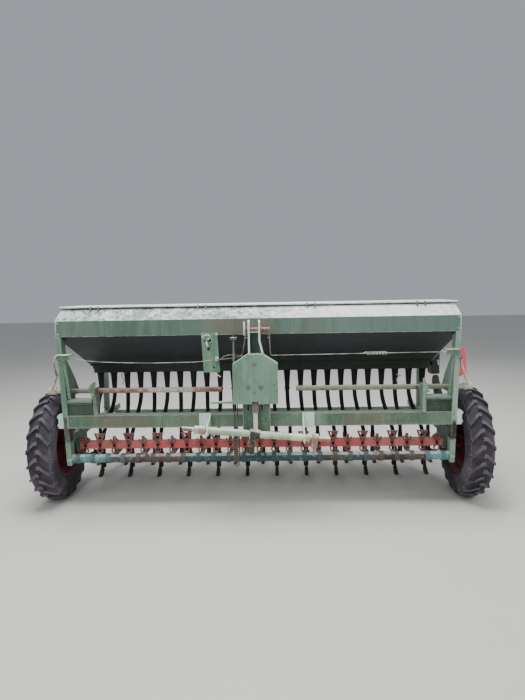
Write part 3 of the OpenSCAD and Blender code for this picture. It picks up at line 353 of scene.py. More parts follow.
def hopper_wall(name):
    """The hopper's long front and rear sheets: a shoulder pale with dust and painted top light, a green band, a wall
    underneath darkened as painted shade, and painted highlights along the folds.
    """
    s = Shader(name)
    fine = s.noise(20, 7, 0.66, 19)
    broad = s.spots(0.36, 0.64, 1.6, 3, 0.5, 20)
    green = s.mix(broad, (70, 95, 82), (90, 112, 100))
    green = s.over(green, (116, 134, 126), s.spots(0.44, 0.72, 6, 6, 0.68, 23, (3.4, 3.4, 0.4)), 0.4)
    green = s.over(green, (108, 132, 122), s.span("X", 300, 1300, 420), 0.45)
    green = s.over(green, (66, 74, 62), s.spots(0.53, 0.68, 8, 7, 0.7, 29, (3.6, 3.6, 0.3)), 0.4)
    wobble = s.math("MULTIPLY", s.math("SUBTRACT", s.noise(9, 5, 0.65, 25), 0.5), 0.3)
    for low, high, share in ((-300, 130, 0.55), (300, 420, 0.2), (-1120, -1000, 0.1)):
        green = s.over(green, (112, 104, 90), s.span("X", low, high, 60, wobble), s.add(share - 0.3, s.mul(fine, 0.8)))
    green = s.over(green, RUSTY, s.spots(0.655, 0.68, 15, 9, 0.72, 31), 0.8)
    # The shoulder's tones: dust, and painted top light
    shoulder_dust_and_top_light = s.mix(s.spots(0.36, 0.62, 9, 7, 0.74, 33), (124, 144, 132), (204, 213, 209))
    shoulder_dust_and_top_light = s.over(shoulder_dust_and_top_light, (146, 184, 164), s.span("X", -1400, -1030, 70), 0.55)
    shoulder_dust_and_top_light = s.over(shoulder_dust_and_top_light, (94, 108, 98), s.spots(0.48, 0.56, 30, 8, 0.78, 36), 0.9)
    shoulder_dust_and_top_light = s.over(shoulder_dust_and_top_light, (234, 242, 238), s.span("X", 250, 1300, 400), 0.65)
    shoulder_dust_and_top_light = s.mix(s.spots(0.62, 0.66, 26, 8, 0.75, 39), shoulder_dust_and_top_light, (96, 92, 80))
    # Painted shade on the wall that faces down, greener in a strip from z 880 to 945
    dark = s.mix(broad, (30, 37, 42), (38, 46, 52))
    dark = s.over(dark, (54, 62, 66), s.band(fine, 0.5, 0.75), 0.3)
    dark = s.over(dark, (66, 86, 74), s.span("Z", 880, 945, 14), 0.8)
    # Faces up in the shoulder take the dust and painted top light, faces down the painted shade, the rest the green
    up = s.mul(s.slope(0.12, 0.4), s.band(s.part(s.coord, "Z"), *SHOULDER))
    colour = s.mix(up, s.mix(s.slope(-0.12, -0.4), green, dark), shoulder_dust_and_top_light)
    # Painted highlight along the folded edges
    fold_highlight = s.mul(s.edge(0.006), s.spots(0.36, 0.6, 24, 5, 0.6, 42))
    colour = s.over(colour, (206, 216, 206), fold_highlight, 0.8)
    dents = s.math("MULTIPLY", s.noise(2.4, 2, 0.5, 44), 4.0)
    return s.finish(colour, s.add(s.mul(fine, 0.3), 0.42), s.math("ADD", dents, fine), depth=0.0012)


# The eyes of the coulter arms round the pivot tube, as a span
EYES = ("Y", PIVOT_Y - 60, PIVOT_Y + 6, 3)
# Tables of looks; each row ends with its seed and what differs from the usual
# Base, second tone, tone of chips, dust (the dust tone also paints the edges' highlight and the top light on faces that
# look up)
PAINTS = {
    "frame_green": ((72, 104, 84), (98, 124, 106), RUSTY, DUST, 1, {}),
    # Main beam: edge=1.0 gives its front edge a painted highlight; the lighter zone from x 60 to 420 is painted light
    # against the shadow of the cover and bar; the dark zone on its top from z 627.5 is painted shade of the hopper
    "beam_green": ((68, 98, 76), (92, 116, 94), (108, 84, 66), MINT, 4, dict(top=0.3, edge=1.0, streak=0.22, zones=(
        ("X", -1075, -690, 60, (108, 98, 82), 0.65), ("X", 560, 830, 60, (116, 106, 90), 0.45),
        ("X", -560, -380, 40, (104, 112, 88), 0.35), ("X", 60, 420, 50, (112, 138, 114), 0.8),
        ("Z", 540, 560, 9, (122, 118, 100), 0.5), ("Z", 627.5, 650, 1, (86, 78, 70), 0.9)))),
    "post_green": ((88, 122, 102), (112, 140, 122), RUSTY, MINT, 8, dict(wear=0.25, top=0.4)),
    "post_right": ((120, 148, 134), (144, 168, 156), RUSTY, MINT, 10, dict(wear=0.25, top=0.4, zones=(
        ("Z", 450, 566, 12, (52, 46, 40), 1.2),))),
    "post_rusty": ((88, 122, 102), (112, 140, 122), RUSTY, MINT, 9, dict(top=0.4, zones=(
        ("Z", 448, 622, 14, (46, 32, 32), 1.35),))),
    "pale_green": ((128, 162, 138), (150, 178, 156), BROWN_GREY, MINT, 12, dict(wear=0.1)),
    "mint": ((190, 220, 204), (210, 230, 218), (120, 104, 84), (222, 232, 220), 13, dict(wear=0.12, grime=0.3)),
    "cover_green": ((96, 128, 108), (118, 146, 126), BROWN_GREY, (176, 198, 180), 15, dict(
        wear=0.12, streak=0.45, grime=0.25)),
    "mast_green": ((72, 100, 78), (96, 120, 98), (84, 70, 52), MINT, 17, dict(wear=0.4, zones=(
        ("Z", 1040, 1400, 8, (44, 56, 48), 1.0),))),
    # Lid: the dark zone along its lower front edge (z up to 1329, y -460 to -402) is a painted shadow line under the
    # lid
    "lid_green": ((168, 184, 174), (200, 212, 204), (96, 92, 80), (234, 238, 234), 22, dict(
        wear=0.35, top=0.5, edge=0.7, zones=(("Z", 1200, 1329, 1.5, "Y", -460, -402, 3, (34, 40, 38), 1.15),))),
    "dark_green": ((30, 44, 36), (42, 56, 46), (56, 42, 36), (88, 94, 82), 26, dict(
        top=0.35, wear=0.35, edge=0.3, streak=0.15)),
    # End boxes: the dark base is painted shade of their recessed front, the pale strip from z 718 to 745 is painted
    # light on the top flange, and top=1.0 adds full dust and painted top light
    "box_green": ((44, 62, 48), (56, 72, 56), (70, 62, 46), (168, 190, 174), 28, dict(
        top=1.0, edge=0.4, streak=0.15, zones=(("Z", 718, 745, 3, (112, 138, 118), 0.9),))),
    "grey_iron": ((66, 70, 66), (90, 90, 82), (84, 60, 48), (150, 146, 134), 29, dict(top=0.5, wear=0.5)),
    "faded_red": ((236, 108, 106), (232, 134, 126), (120, 78, 66), (226, 168, 154), 33, dict(
        wear=0.4, top=0.45, grime=0.2, zones=(
            ("X", -1100, -860, 40, (140, 100, 76), 0.3), ("X", 980, 1060, 30, (132, 112, 80), 0.4),
            ("X", -440, -330, 30, (104, 78, 66), 0.5)))),
    # Spring hangers: the pale pink edges (edge=0.9) are dust and painted highlight
    "hanger_pink": ((146, 72, 66), (124, 92, 84), (58, 42, 38), (226, 186, 176), 35, dict(wear=0.7, top=0.7, edge=0.9)),
    "plate_red": ((255, 88, 112), (255, 106, 122), (120, 60, 56), (228, 150, 148), 36, dict(wear=0.1, grime=0.15)),
    "rim_red": ((72, 16, 28), (100, 26, 40), (70, 44, 42), (168, 110, 114), 37, dict(
        wear=0.15, top=0.5, streak=0.1, grime=0.1, pits=0.15)),
    "arm_iron": ((40, 50, 44), (58, 62, 54), (66, 48, 40), (120, 116, 102), 54, dict(
        top=0.4, wear=0.5, edge=0.3, zones=(
            (*EYES, (74, 64, 60), 0.95), (*EYES, "X", -1260, -900, 60, (64, 104, 102), 0.9),
            (*EYES, "X", -480, 420, 70, (40, 74, 76), 0.95), (*EYES, "X", 560, 740, 40, (56, 82, 84), 0.8),
            (*EYES, "X", 1040, 1260, 40, (84, 122, 126), 0.9)))),
    "marker_right": ((104, 122, 94), (134, 146, 120), (112, 84, 70), (204, 212, 186), 58, dict(
        wear=0.55, top=1.0, edge=0.2, zones=(("X", 1296, 1420, 8, (196, 200, 184), 0.95),))),
    "clamp_pale": ((204, 206, 190), (220, 220, 206), (118, 92, 74), (230, 228, 216), 62, dict(zones=(
        ("Z", 380, 560, 6, (48, 52, 40), 1.1), ("Z", 672, 760, 8, (84, 64, 52), 0.85)))),
    # Rear step: the base is lightened as painted light on its shaded front, and the near-white dust on its top and
    # edges is dust with painted top light and highlight
    "step_worn": ((120, 148, 128), (146, 168, 152), BROWN_GREY, (240, 244, 240), 73, dict(
        wear=0.5, top=0.85, edge=0.8)),
    "bolt_grey": ((84, 96, 76), (102, 108, 86), RUSTY, (176, 190, 170), 77, dict(wear=0.4, top=0.5, edge=0.3)),
    "bracket_worn": ((104, 128, 108), (128, 148, 130), BROWN_GREY, (196, 214, 198), 75, dict(wear=0.35, zones=(
        ("X", -1300, -900, 20, (78, 92, 72), 0.8),))),
}
# Base, light tone (flecks, and painted top light on faces that look up) and dark tone
RUSTS = {
    # Shares' iron: its near-black base is painted shade
    "worn_iron": ((50, 40, 38), (92, 78, 72), (30, 25, 24), 50, {}),
    "pivot_worn": ((84, 62, 58), (206, 220, 216), (48, 42, 42), 51, dict(flecks=0.3, zones=(
        ("X", -1240, -980, 60, (88, 140, 136), 0.9), ("X", -980, -800, 60, (70, 84, 82), 0.5),
        ("X", -480, 420, 70, (38, 72, 74), 1.0), ("X", 1100, 1245, 30, (104, 150, 158), 0.9),
        ("X", 500, 760, 60, (56, 82, 86), 0.5)))),
    "marker_left": ((150, 112, 98), (214, 206, 194), (98, 68, 58), 56, dict(flecks=1.0, zones=(
        ("X", -1240, -1110, 25, (112, 128, 112), 0.95), ("X", -714, -435, 30, (200, 202, 184), 0.75),
        ("X", -1400, -1296, 4, (206, 196, 180), 0.8)))),
    "bar_pale": ((184, 208, 176), (246, 254, 238), (122, 140, 108), 60, dict(zones=(
        ("X", -322, -90, 25, (140, 160, 128), 0.8), ("X", -520, -402, 6, (128, 78, 74), 0.95),
        ("X", -366, -322, 8, (160, 108, 92), 0.85), ("X", 336, 520, 8, (146, 92, 84), 0.9),
        ("X", 300, 334, 8, (150, 124, 104), 0.6)))),
    "pin_pink": ((128, 92, 84), (180, 148, 138), (92, 58, 52), 64, {}),
    "spring_grey": ((104, 92, 88), (150, 132, 126), (60, 48, 46), 66, {}),
    "spring_dark": ((56, 48, 46), (96, 84, 78), (32, 28, 28), 68, {}),
    "chalk_white": ((212, 214, 204), (236, 236, 228), (150, 132, 118), 74, {}),
    "black_iron": ((34, 32, 32), (62, 56, 52), (20, 18, 18), 76, {}),
}
# Base, dust or dark tone
RUBBERS = {
    "tyre": ((46, 42, 50), (100, 93, 103), 41, dict(rings=True)),
    "tube_rubber": ((20, 19, 26), (52, 50, 58), 44, dict(share=0.35)),
    "funnel_plastic": ((24, 22, 30), (56, 54, 64), 46, dict(share=0.4)),
}
STEELS = {
    "bare_steel": ((176, 176, 172), (112, 106, 100), 70, {}),
    "rope_steel": ((158, 154, 152), (104, 96, 94), 72, dict(metallic=0.35)),
}
MATS = {"hopper_green": hopper_wall("hopper_green")}
for make, table in ((paint, PAINTS), (rust, RUSTS), (rubber, RUBBERS), (steel, STEELS)):
    for look, (*tones, options) in table.items():
        MATS[look] = make(look, *tones, **options)

# The look of each CAD node that doesn't have its material slot's own
LOOKS = {node: look for look, nodes in (
    ("beam_green", "main_beam"), ("box_green", "end_boxes"), ("post_right", "side_post_right"),
    ("post_rusty", "side_post_left"), ("mast_green", "headstock_mast"),
    ("cover_green", "headstock_cover hanging_plate"), ("mint", "hitch_plates beam_end_plates top_link_ears"),
    ("marker_left", "marker_shaft_left"), ("marker_right", "marker_shaft_right"), ("bar_pale", "hitch_bar"),
    ("clamp_pale", "hitch_clamp"),
    ("pin_pink", "top_link_pin"), ("pivot_worn", "pivot_tube"), ("arm_iron", "coulter_arms_front coulter_arms_rear"),
    ("lid_green", "lid"), ("hanger_pink", "spring_hangers"), ("plate_red", "drive_guard"), ("step_worn", "rear_step"),
    ("post_green", "hopper_end_left hopper_end_right front_stays"), ("bracket_worn", "marker_brackets"),
    # On the lid hinges the dark grey_iron look is painted shade, so that they sink into the painted shadow line under
    # the lid
    ("frame_green", "rope_brackets"), ("grey_iron", "lid_hinges")) for node in nodes.split()}
# The width in millimetres of rounded edges, on the CAD nodes whose edges show
ROUNDED = {node: width for width, nodes in (
    (5, "main_beam metering_gear"), (4, "chain_case"), (3, "beam_end_plates headstock_cover pressure_rail"),
    (2.5, "side_post_left side_post_right hitch_plates headstock_mast side_rail_left side_rail_right rear_posts"),
    (2.5, "hitch_clamp stub_axle_left stub_axle_right"),
    (2, "rear_step top_link_ears marker_brackets hanging_plate front_stays"),
    (1.5, "rope_brackets spring_hangers metering_units shares_front shares_rear"),
    (1.2, "hopper_front hopper_rear drive_guard rim_left rim_right"), (1, "end_boxes")) for node in nodes.split()}
BEVEL_ANGLE = math.radians(35)


def dress_nodes():
    """Looks and rounded edges on the CAD nodes."""
    slots = {p["node"]: p["material_slot"] for p in frame["record"]["subparts"]}
    for name, obj in NODES.items():
        obj.data.materials.clear()
        obj.data.materials.append(MATS[LOOKS.get(name, slots[name])])
        if name in ROUNDED:
            bevel = obj.modifiers.new("rounded", "BEVEL")
            bevel.width = ROUNDED[name] * MM
            bevel.segments = 2
            bevel.limit_method = "ANGLE"
            bevel.angle_limit = BEVEL_ANGLE


def circle(sides):
    """Even angles round a full turn."""
    return [2 * math.pi * i / sides for i in range(sides)]


def across(axis):
    """Two directions at right angles to an axis and to each other."""
    u = axis.orthogonal().normalized()
    return u, axis.cross(u)


def turned(u, v, angle):
    """The direction u, turned by an angle towards v."""
    return u * math.cos(angle) + v * math.sin(angle)


def even_points(points, step, rounds):
    """Points a step apart along a line, its corners smoothed."""
    out = []
    for a, b in zip(points, points[1:]):
        n = max(1, int((b - a).length / step))
        out += [a + (b - a) * (i / n) for i in range(n)]
    out.append(points[-1])
    for _ in range(rounds):
        out = [out[0]] + [(a + b * 2 + c) / 4 for a, b, c in zip(out, out[1:], out[2:])] + [out[-1]]
    return out


class Piece:
    """Gathers solids, given in millimetres, and turns them into one object."""

    # Shares of a bolt's width over its flats
    WASHER_R, HEAD_H, STUD_R = 0.72, 0.42, 0.3

    def __init__(self):
        self.bm = bmesh.new()

    def loft(self, rings):
        """A closed skin over rings of points that all have the same count."""
        rows = [[self.bm.verts.new(p) for p in ring] for ring in rings]
        n = len(rows[0])
        for a, b in zip(rows, rows[1:]):
            for i in range(n):
                self.bm.faces.new((a[i], a[(i + 1) % n], b[(i + 1) % n], b[i]))
        self.bm.faces.new(rows[0][::-1])
        self.bm.faces.new(rows[-1])

    def tube(self, points, radius, sides=12):
        """A round skin along points; radius is a number, or a function of the ring and its angle."""
        rings, u = [], None
        last = len(points) - 1
        size = radius if callable(radius) else lambda i, a: radius
        for i, p in enumerate(points):
            d = (points[min(i + 1, last)] - points[max(i - 1, 0)]).normalized()
            u = d.orthogonal() if u is None else u - d * u.dot(d)
            u.normalize()
            v = d.cross(u)
            rings.append([p + turned(u, v, a) * size(i, a) for a in circle(sides)])
        self.loft(rings)

    def bent(self, places, step, rounds, radius, sides=10):
        """A tube along places, with its bends smoothed."""
        self.tube(even_points([Vector(p) for p in places], step, rounds), radius, sides)

    def rod(self, p, q, r, sides=20, chamfer=1.0):
        """A round bar with chamfered ends."""
        d = (q - p).normalized() * chamfer
        sizes = (r - chamfer, r, r, r - chamfer)
        self.tube([p, p + d, q - d, q], lambda i, a: sizes[i], sides)

    def bar(self, mid, half, r, sides=20, chamfer=1.0):
        """A rod that reaches as far to both sides of its middle."""
        self.rod(mid - half, mid + half, r, sides, chamfer)

    def hexagon(self, p, axis, flats, height):
        """A bolt head or a nut, its far end drawn in."""
        axis = axis.normalized()
        u, v = across(axis)
        corner = flats / 3 ** 0.5
        self.loft([[p + axis * h + turned(u, v, a) * corner * k for a in circle(6)]
                   for h, k in ((0, 1.0), (0.78 * height, 1.0), (height, 0.86))])

    def bolt(self, p, axis, flats=17, stud=0.0, rise=1.0):
        """A hexagon head or nut on a washer, standing out of a face at p; a small rise makes it low."""
        axis = axis.normalized()
        head = flats * self.HEAD_H
        self.rod(p - axis * 0.8, p + axis * 2 * rise, flats * self.WASHER_R, 16, 0.4 * rise)
        self.hexagon(p + axis * 1.9 * rise, axis, flats, head * rise)
        if stud:
            self.rod(p + axis * 2, p + axis * (2 + head + stud), flats * self.STUD_R, 12, 0.8)

    def ball(self, p, r, squash=(1, 1, 1)):
        m = Matrix.Translation(p) @ Matrix.Diagonal((*squash, 1))
        bmesh.ops.create_uvsphere(self.bm, u_segments=16, v_segments=10, radius=r, matrix=m)

    def box(self, mid, size, turn=Matrix.Identity(3), chamfer=1.0):
        """A block with chamfered edges; size and chamfer in its own frame."""
        hx, hy, hz = (v / 2 for v in size)
        c = min(chamfer, hx * 0.6, hy * 0.6, hz * 0.6)
        half = [(hx - c, hy), (hx, hy - c), (hx, c - hy), (hx - c, -hy)]
        corners = half + [(-x, -y) for x, y in half]
        rings = []
        for z, k in ((-hz, 1), (c - hz, 0), (hz - c, 0), (hz, 1)):
            shrink_x, shrink_y = 1 - k * c / hx, 1 - k * c / hy
            rings.append([mid + turn @ vec(x * shrink_x, y * shrink_y, z) for x, y in corners])
        self.loft(rings)

    def coil(self, p, q, radius, wire, turns, steps=14, sides=7):
        """A wound wire from one point to another."""
        u, v = across((q - p).normalized())
        count = int(turns * steps)
        self.tube([p + (q - p) * (i / count) + turned(u, v, 2 * math.pi * i / steps) * radius
                   for i in range(count + 1)], wire / 2, sides)

    def hoop(self, p, axis, radius, wire, start=0.0, end=2 * math.pi, steps=24, sides=8):
        """A ring of wire round an axis, or a part of one between two angles."""
        u, v = across(axis)
        angles = [start + (end - start) * i / steps for i in range(steps + 1)]
        self.tube([p + turned(u, v, a) * radius for a in angles], wire / 2, sides)

    def weld(self, p, q, r=3.2):
        """A lumpy bead along a seam."""
        count = max(3, int((q - p).length / 4))
        self.tube([p + (q - p) * (i / count) for i in range(count + 1)],
                  lambda i, a: r * (0.82 + 0.3 * math.sin(i * 2.1) ** 2), 8)

    def done(self, name, slot, look, body="frame", replaces=(), sharp=35):
        """Ends the piece; edges sharper than an angle in degrees stay hard."""
        bm = self.bm
        bmesh.ops.recalc_face_normals(bm, faces=bm.faces)
        bmesh.ops.scale(bm, vec=(MM, MM, MM), verts=bm.verts)
        mesh = bpy.data.meshes.new(name)
        bm.to_mesh(mesh)
        bm.free()
        mesh.shade_smooth()
        mesh.set_sharp_from_angle(angle=math.radians(sharp))
        obj = show(name, mesh)
        mesh.materials.append(MATS[look])
        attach(obj, body)
        if replaces:
            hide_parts(*replaces)


def post_front(z):
    """The front face of the leaning side posts."""
    return BAND_FRONT_Y + 75 * (BAND_BOTTOM - z) / (BAND_BOTTOM - 290)


def stay_front(z):
    """The front face of the thin stays."""
    return -463 - 70 * (z - 733) / 301


def bezier(a, b, c, d, t):
    """The cubic curve's point at t."""
    return a * (1 - t) ** 3 + b * 3 * t * (1 - t) ** 2 + c * 3 * t * t * (1 - t) + d * t ** 3


def rank_y(k):
    """Where along Y a row's share stands."""
    return FRONT_RANK if k % 2 else REAR_RANK


def seed_hoses():
    """Ribbed hoses with a plain cuff at each end."""
    p = Piece()
    rings, cuff, bow = 112, 6, Z * 150
    cuff_r, rib_r, gap_r = 16, 15.6, 13.9

    def radius(i, a):
        if i < cuff or i > rings - cuff:
            return cuff_r
        return rib_r if i % 2 else gap_r

    for k in ROWS:
        top = vec(k * METER_PITCH, TROUGH_Y, FUNNEL_BOTTOM - 0.3)
        end = vec(k * ROW_PITCH, rank_y(k) + 34, BOOT_TOP)
        aside = X * (math.copysign(60, k) if abs(k) == OUTER_ROW else 0)
        line = [bezier(top, top - bow + aside, end + bow, end, i / rings) for i in range(rings + 1)]
        p.tube(line, radius, 14)
    p.done("seed_hoses", "tube_rubber", "tube_rubber", replaces=("seed_tubes",), sharp=60)


def arm_point(k, y):
    """A coulter arm's middle line at a place along Y."""
    start = vec(k * ARM_PITCH, PIVOT_Y + 29.3, PIVOT_Z - 8)
    end = vec(k * ROW_PITCH, rank_y(k), SHARE_TOP)
    q = start + (end - start) * ((y - start.y) / (end.y - start.y))
    return vec(start.x if abs(k) == OUTER_ROW else q.x, y, q.z)


def coulter_springs():
    """A coil round a guide rod from each hanger to its arm, with seats, pins and nuts."""
    p = Piece()
    rod_r, pin_r, eye_r, seat_r, seat = 4, 5, 6, 13, 3
    for k in ROWS:
        top = vec(k * ARM_PITCH, PRESSURE_FRONT + 16, 456 if k % 2 else 437)
        foot = arm_point(k, AXLE_Y + 120) + Z * 37
        along, length = (foot - top).normalized(), (foot - top).length
        p.rod(top - along * 8, foot, rod_r, 12)
        low, high = top + along * length * 0.22, top + along * length * 0.84
        p.coil(low, high, radius=9.6, wire=4.6, turns=15)
        p.rod(low - along * seat, low, seat_r, 20, 0.6)
        p.rod(high, high + along * seat, seat_r, 20, 0.6)
        p.hexagon(high + along * seat, along, 13, 6)
        p.rod(foot - X * 5, foot + X * 14, pin_r, 16)
        p.rod(foot + X * 11, foot + X * 12.5, pin_r + 3, 16, 0.4)
        p.rod(vec(top.x, PRESSURE_FRONT, top.z), vec(top.x, PRESSURE_FRONT + 24, top.z), eye_r, 16)
    p.done("coulter_springs", "dark_green", "spring_dark", replaces=("pressure_springs",), sharp=50)


def hitch_spring():
    """The long hanging coil with its two upright rods over a cross pin."""
    p = Piece()
    x, y, half = HEAD_X - 123, BAR_Y + 50, 9
    top_z, hook_z = BAR_Z - 31, 728
    low = vec(x, y, top_z - 161)
    p.coil(low, vec(x, y, top_z), radius=18.6, wire=6.6, turns=13, steps=18, sides=9)
    arc = [vec(x, y, hook_z + 6) + turned(X, Z, math.pi * i / 10) * half for i in range(11)]
    p.tube([vec(x + half, y, top_z - 4), *arc, vec(x - half, y, top_z - 4)], 3.1, 10)
    p.tube([vec(x - half, y, top_z - 2), vec(x - half - 4, y - 9, top_z - 4), vec(x, y - 18, top_z - 6)], 3.2, 10)
    p.hoop(low - Z * 12, Y, radius=12, wire=6.4, start=-1.1, end=4.0)
    p.rod(vec(x - 14, y, hook_z), vec(HEAD_X - 32.3, y, hook_z), 5, 16)
    p.bolt(vec(x - 12, y, hook_z), -X, 13)
    p.done("hitch_spring", "frame_green", "spring_grey", replaces=("hanging_spring",), sharp=50)


# The ropes' courses as x, z in the plane of the rope brackets
ROPE_LEFT = ((-1237, 1018), (-1190, 1023), (-1137, 1014), (-1060, 1001), (-980, 993), (-820, 986), (-666, 982),
             (-384, 984), (-214, 1000), (-146, 1006), (-88, 1018))
ROPE_RIGHT = ((1247, 1026), (885, 1025), (270, 1021), (88, 1020))
# The loose end of the left rope: x, how far in front of that plane, z
ROPE_TAIL = ((-222, 3, 1003), (-200, 6, 1021), (-165, 8, 1029), (-128, 7, 1026), (-96, 4, 1021), (-78, 2, 1018))


def strands(p, points, r, rounds=10):
    """A twisted rope of six strands."""
    p.bent(points, 3.6, rounds, lambda i, a: r * (0.93 + 0.12 * math.cos(6 * a + i * 0.75)), 18)


def clip(p, at, way):
    """A rope clip: a saddle, a bow and two nuts."""
    side, out = across(way)
    p.hoop(at, way, radius=5.6, wire=3.2, start=-math.pi / 2, end=math.pi / 2, steps=10, sides=6)
    p.bar(at, side * 8, 3.6, 10, 0.6)
    for s in (-5.5, 5.5):
        p.hexagon(at + side * s + out * 2, out, 6.5, 4)


def wire_ropes():
    """Both ropes from an eye on the top link's pin to the marker's lever, with their clips."""
    p = Piece()
    slack = Y * 10.3
    for side, route, pin_x, outside, lever in (
            (-1, ROPE_LEFT, -60, -2, vec(-1314, MARKER_Y - 50, MARKER_Z + 115)),
            (1, ROPE_RIGHT, 81, 6, vec(1285, MARKER_Y - 90, MARKER_Z + 181))):
        eye = vec(pin_x, TOP_PIN_Y, TOP_PIN_Z)
        line = [eye - Z * 17, *(vec(x, ROPE_Y, z) for x, z in reversed(route)),
                vec(side * (POST_OUT + 3), ROPE_Y, ROPE_Z + outside), lever - slack]
        strands(p, line, 2.7)
        p.hoop(eye, X, radius=16.5, wire=5.4, steps=30)
        way = (line[-1] - line[-2]).normalized()
        for at, axis in ((line[0] - Z * 14, Z), (line[0] - Z * 32, Z), (lever - slack - way * 22, way),
                         (lever - slack - way * 42, way)):
            clip(p, at, axis)
    strands(p, [vec(x, ROPE_Y - front, z) for x, front, z in ROPE_TAIL], 2.5, 24)
    clip(p, vec(-94, ROPE_Y - 2, 1019), X)
    p.done("wire_ropes", "bare_steel", "rope_steel", replaces=("wire_rope",), sharp=70)


def rope_coil():
    """A pale stretched spring wound round the right rope."""
    p = Piece()
    a, b = vec(677, ROPE_Y, ROPE_Z + 5.6), vec(806, ROPE_Y, ROPE_Z + 6.6)
    p.coil(a, b, radius=10.5, wire=3.4, turns=7, steps=16)
    p.tube([a + vec(0, -8, 3), a + vec(-10, -6, 8), a + vec(-16, -3, 5)], 1.5, 7)
    p.done("rope_coil", "bare_steel", "chalk_white", sharp=60)


def rope_fittings():
    """A hooked bar on the left rope bracket, a strainer on the right one and shackles at the levers."""
    p = Piece()
    y, z = ROPE_Y - 18, ROPE_Z + 24
    p.bent(((-1176, y, z - 1), (-1230, y, z), (-1252, y, z - 3), (-1262, y, z - 18), (-1266, y + 1, z - 46)), 5, 8, 3.6)
    p.rod(vec(-1236, y - 4, z), vec(-1236, y + 10, z), 5, 12)
    right = vec(1196, ROPE_Y - 2, ROPE_Z + 8)
    p.rod(right - X * 30, right + X * 34, 6, 14)
    for side in SIDES:
        p.hexagon(right + X * 34 * side, X * side, 13, 9)
    p.hoop(right - X * 52, Y, radius=9, wire=4.4, steps=20)
    p.hoop(right + X * 22 + Z * 13, Y, radius=9, wire=5, steps=20)
    p.tube([right + vec(-8, -8, 12), right + vec(22, -8, 12), right + vec(34, -8, -12), right + vec(46, -8, 14)], 3, 8)
    for tip in (vec(-1314, MARKER_Y - 62, MARKER_Z + 120), vec(1285, MARKER_Y - 102, MARKER_Z + 184)):
        p.hoop(tip, X, radius=10, wire=5, steps=20)
        p.bar(tip, X * 12, 3.4, 12)
        p.ball(tip + vec(0, -2, 12), 7.5, (0.8, 1, 1))
    p.done("rope_fittings", "bare_steel", "chalk_white", sharp=50)


def bolt_groups():
    """Bolts and nuts, one piece for each look."""
    cover, dark, green, mint = Piece(), Piece(), Piece(), Piece()
    # Headstock cover: x, z, width over flats, rise
    for x, z, flats, rise in ((-12, 979, 24, 0.22), (-48, 839, 24, 0.22), (28, 838, 24, 0.22), (-12, 806, 13, 0.3),
                              (COVER_X - 124, 852, 9, 0.3), (COVER_X + 116, 852, 9, 0.3)):
        cover.bolt(vec(x, COVER_FRONT, z), -Y, flats, rise=rise)
    cover.done("cover_bolts", "pale_green", "bolt_grey")
    # Marker brackets: x, height over the shafts' middle
    for x, z in ((1066, -14), (1090, -14), (-1076, -14), (-1090, 34)):
        green.bolt(vec(x, BEAM_FRONT + 4, MARKER_Z + z), -Y, 13)
    for side in SIDES:
        out = X * side
        # Stays, beam ends, hopper band, rear posts and side posts
        for z in (752, 772, 800):
            green.bolt(vec(side * 1230, stay_front(z), z), -Y, 13)
        for y in (-26, 26):
            for z in (-24, 30):
                mint.bolt(vec(side * END_PLATE_X, BEAM_MID_Y + y, BEAM_Z + z), out, 19)
        for z in (1166, 1234):
            green.bolt(vec(side * BAND_BOLT_X, BAND_FRONT_Y, z), -Y, 10)
            green.bolt(vec(side * BAND_BOLT_X, BAND_REAR_Y, z), Y, 10)
        for y in (-14, 14):
            for z in (1120, 518):
                green.bolt(vec(side * POST_OUT, REAR_POST_Y + y, z), out, 17)
        for z in (500, 1118):
            green.bolt(vec(side * POST_OUT, post_front(z) + 36, z), out, 19)
        for x in (1246, 1264):
            green.bolt(vec(side * x, post_front(320), 318), -Y, 10)
    # Spring hangers and coulters
    for k in ROWS:
        dark.bolt(vec(k * ARM_PITCH, HANGER_FRONT, PRESSURE_Z), -Y, 13)
        for z in (134, 168):
            for side in SIDES:
                dark.bolt(vec(k * ROW_PITCH + side * 20, rank_y(k) + 12.3, z), X * side, 15)
    dark.done("iron_bolts", "dark_green", "black_iron")
    green.done("green_bolts", "frame_green", "cover_green")
    mint.done("beam_end_bolts", "pale_green", "mint")


def hopper_outline(top):
    """Half outlines of a hopper end as y, z, from a top to the trough: the front one, then the rear one."""
    ends = (LID_FRONT_Y, BAND_FRONT_Y, -TROUGH_HALF), (LID_REAR_Y, BAND_REAR_Y, TROUGH_HALF)
    return [[(lid_y, top), (band_y, BAND_TOP), (band_y, BAND_BOTTOM), (TROUGH_Y + half, TROUGH_EDGE)]
            for lid_y, band_y, half in ends]


def hopper_bolts():
    """A row of bolts round each hopper end."""
    p = Piece()
    front, rear = hopper_outline(HOPPER_TOP)
    middle, inset, pitch = vec(0, TROUGH_Y - 10, 1120), 22, 118
    line = [vec(0, y, z) for y, z in front + rear[::-1]]
    line = [q + (middle - q).normalized() * inset for q in line]
    for a, b in zip(line, line[1:]):
        n = max(1, round((b - a).length / pitch))
        for i in range(n):
            for side in SIDES:
                p.bolt(a + (b - a) * ((i + 0.5) / n) + X * side * HOPPER_X, X * side, 11)
    p.done("hopper_end_bolts", "hopper_green", "post_green")


def hopper_flanges():
    """Rolled rims round the hopper's ends."""
    p = Piece()
    for side in SIDES:
        for route in hopper_outline(HOPPER_TOP - 2):
            p.bent([(side * (HOPPER_X - 0.5), y, z) for y, z in route], 8, 2, 2.6, 8)
    p.done("hopper_edge_beads", "hopper_green", "lid_green", sharp=60)


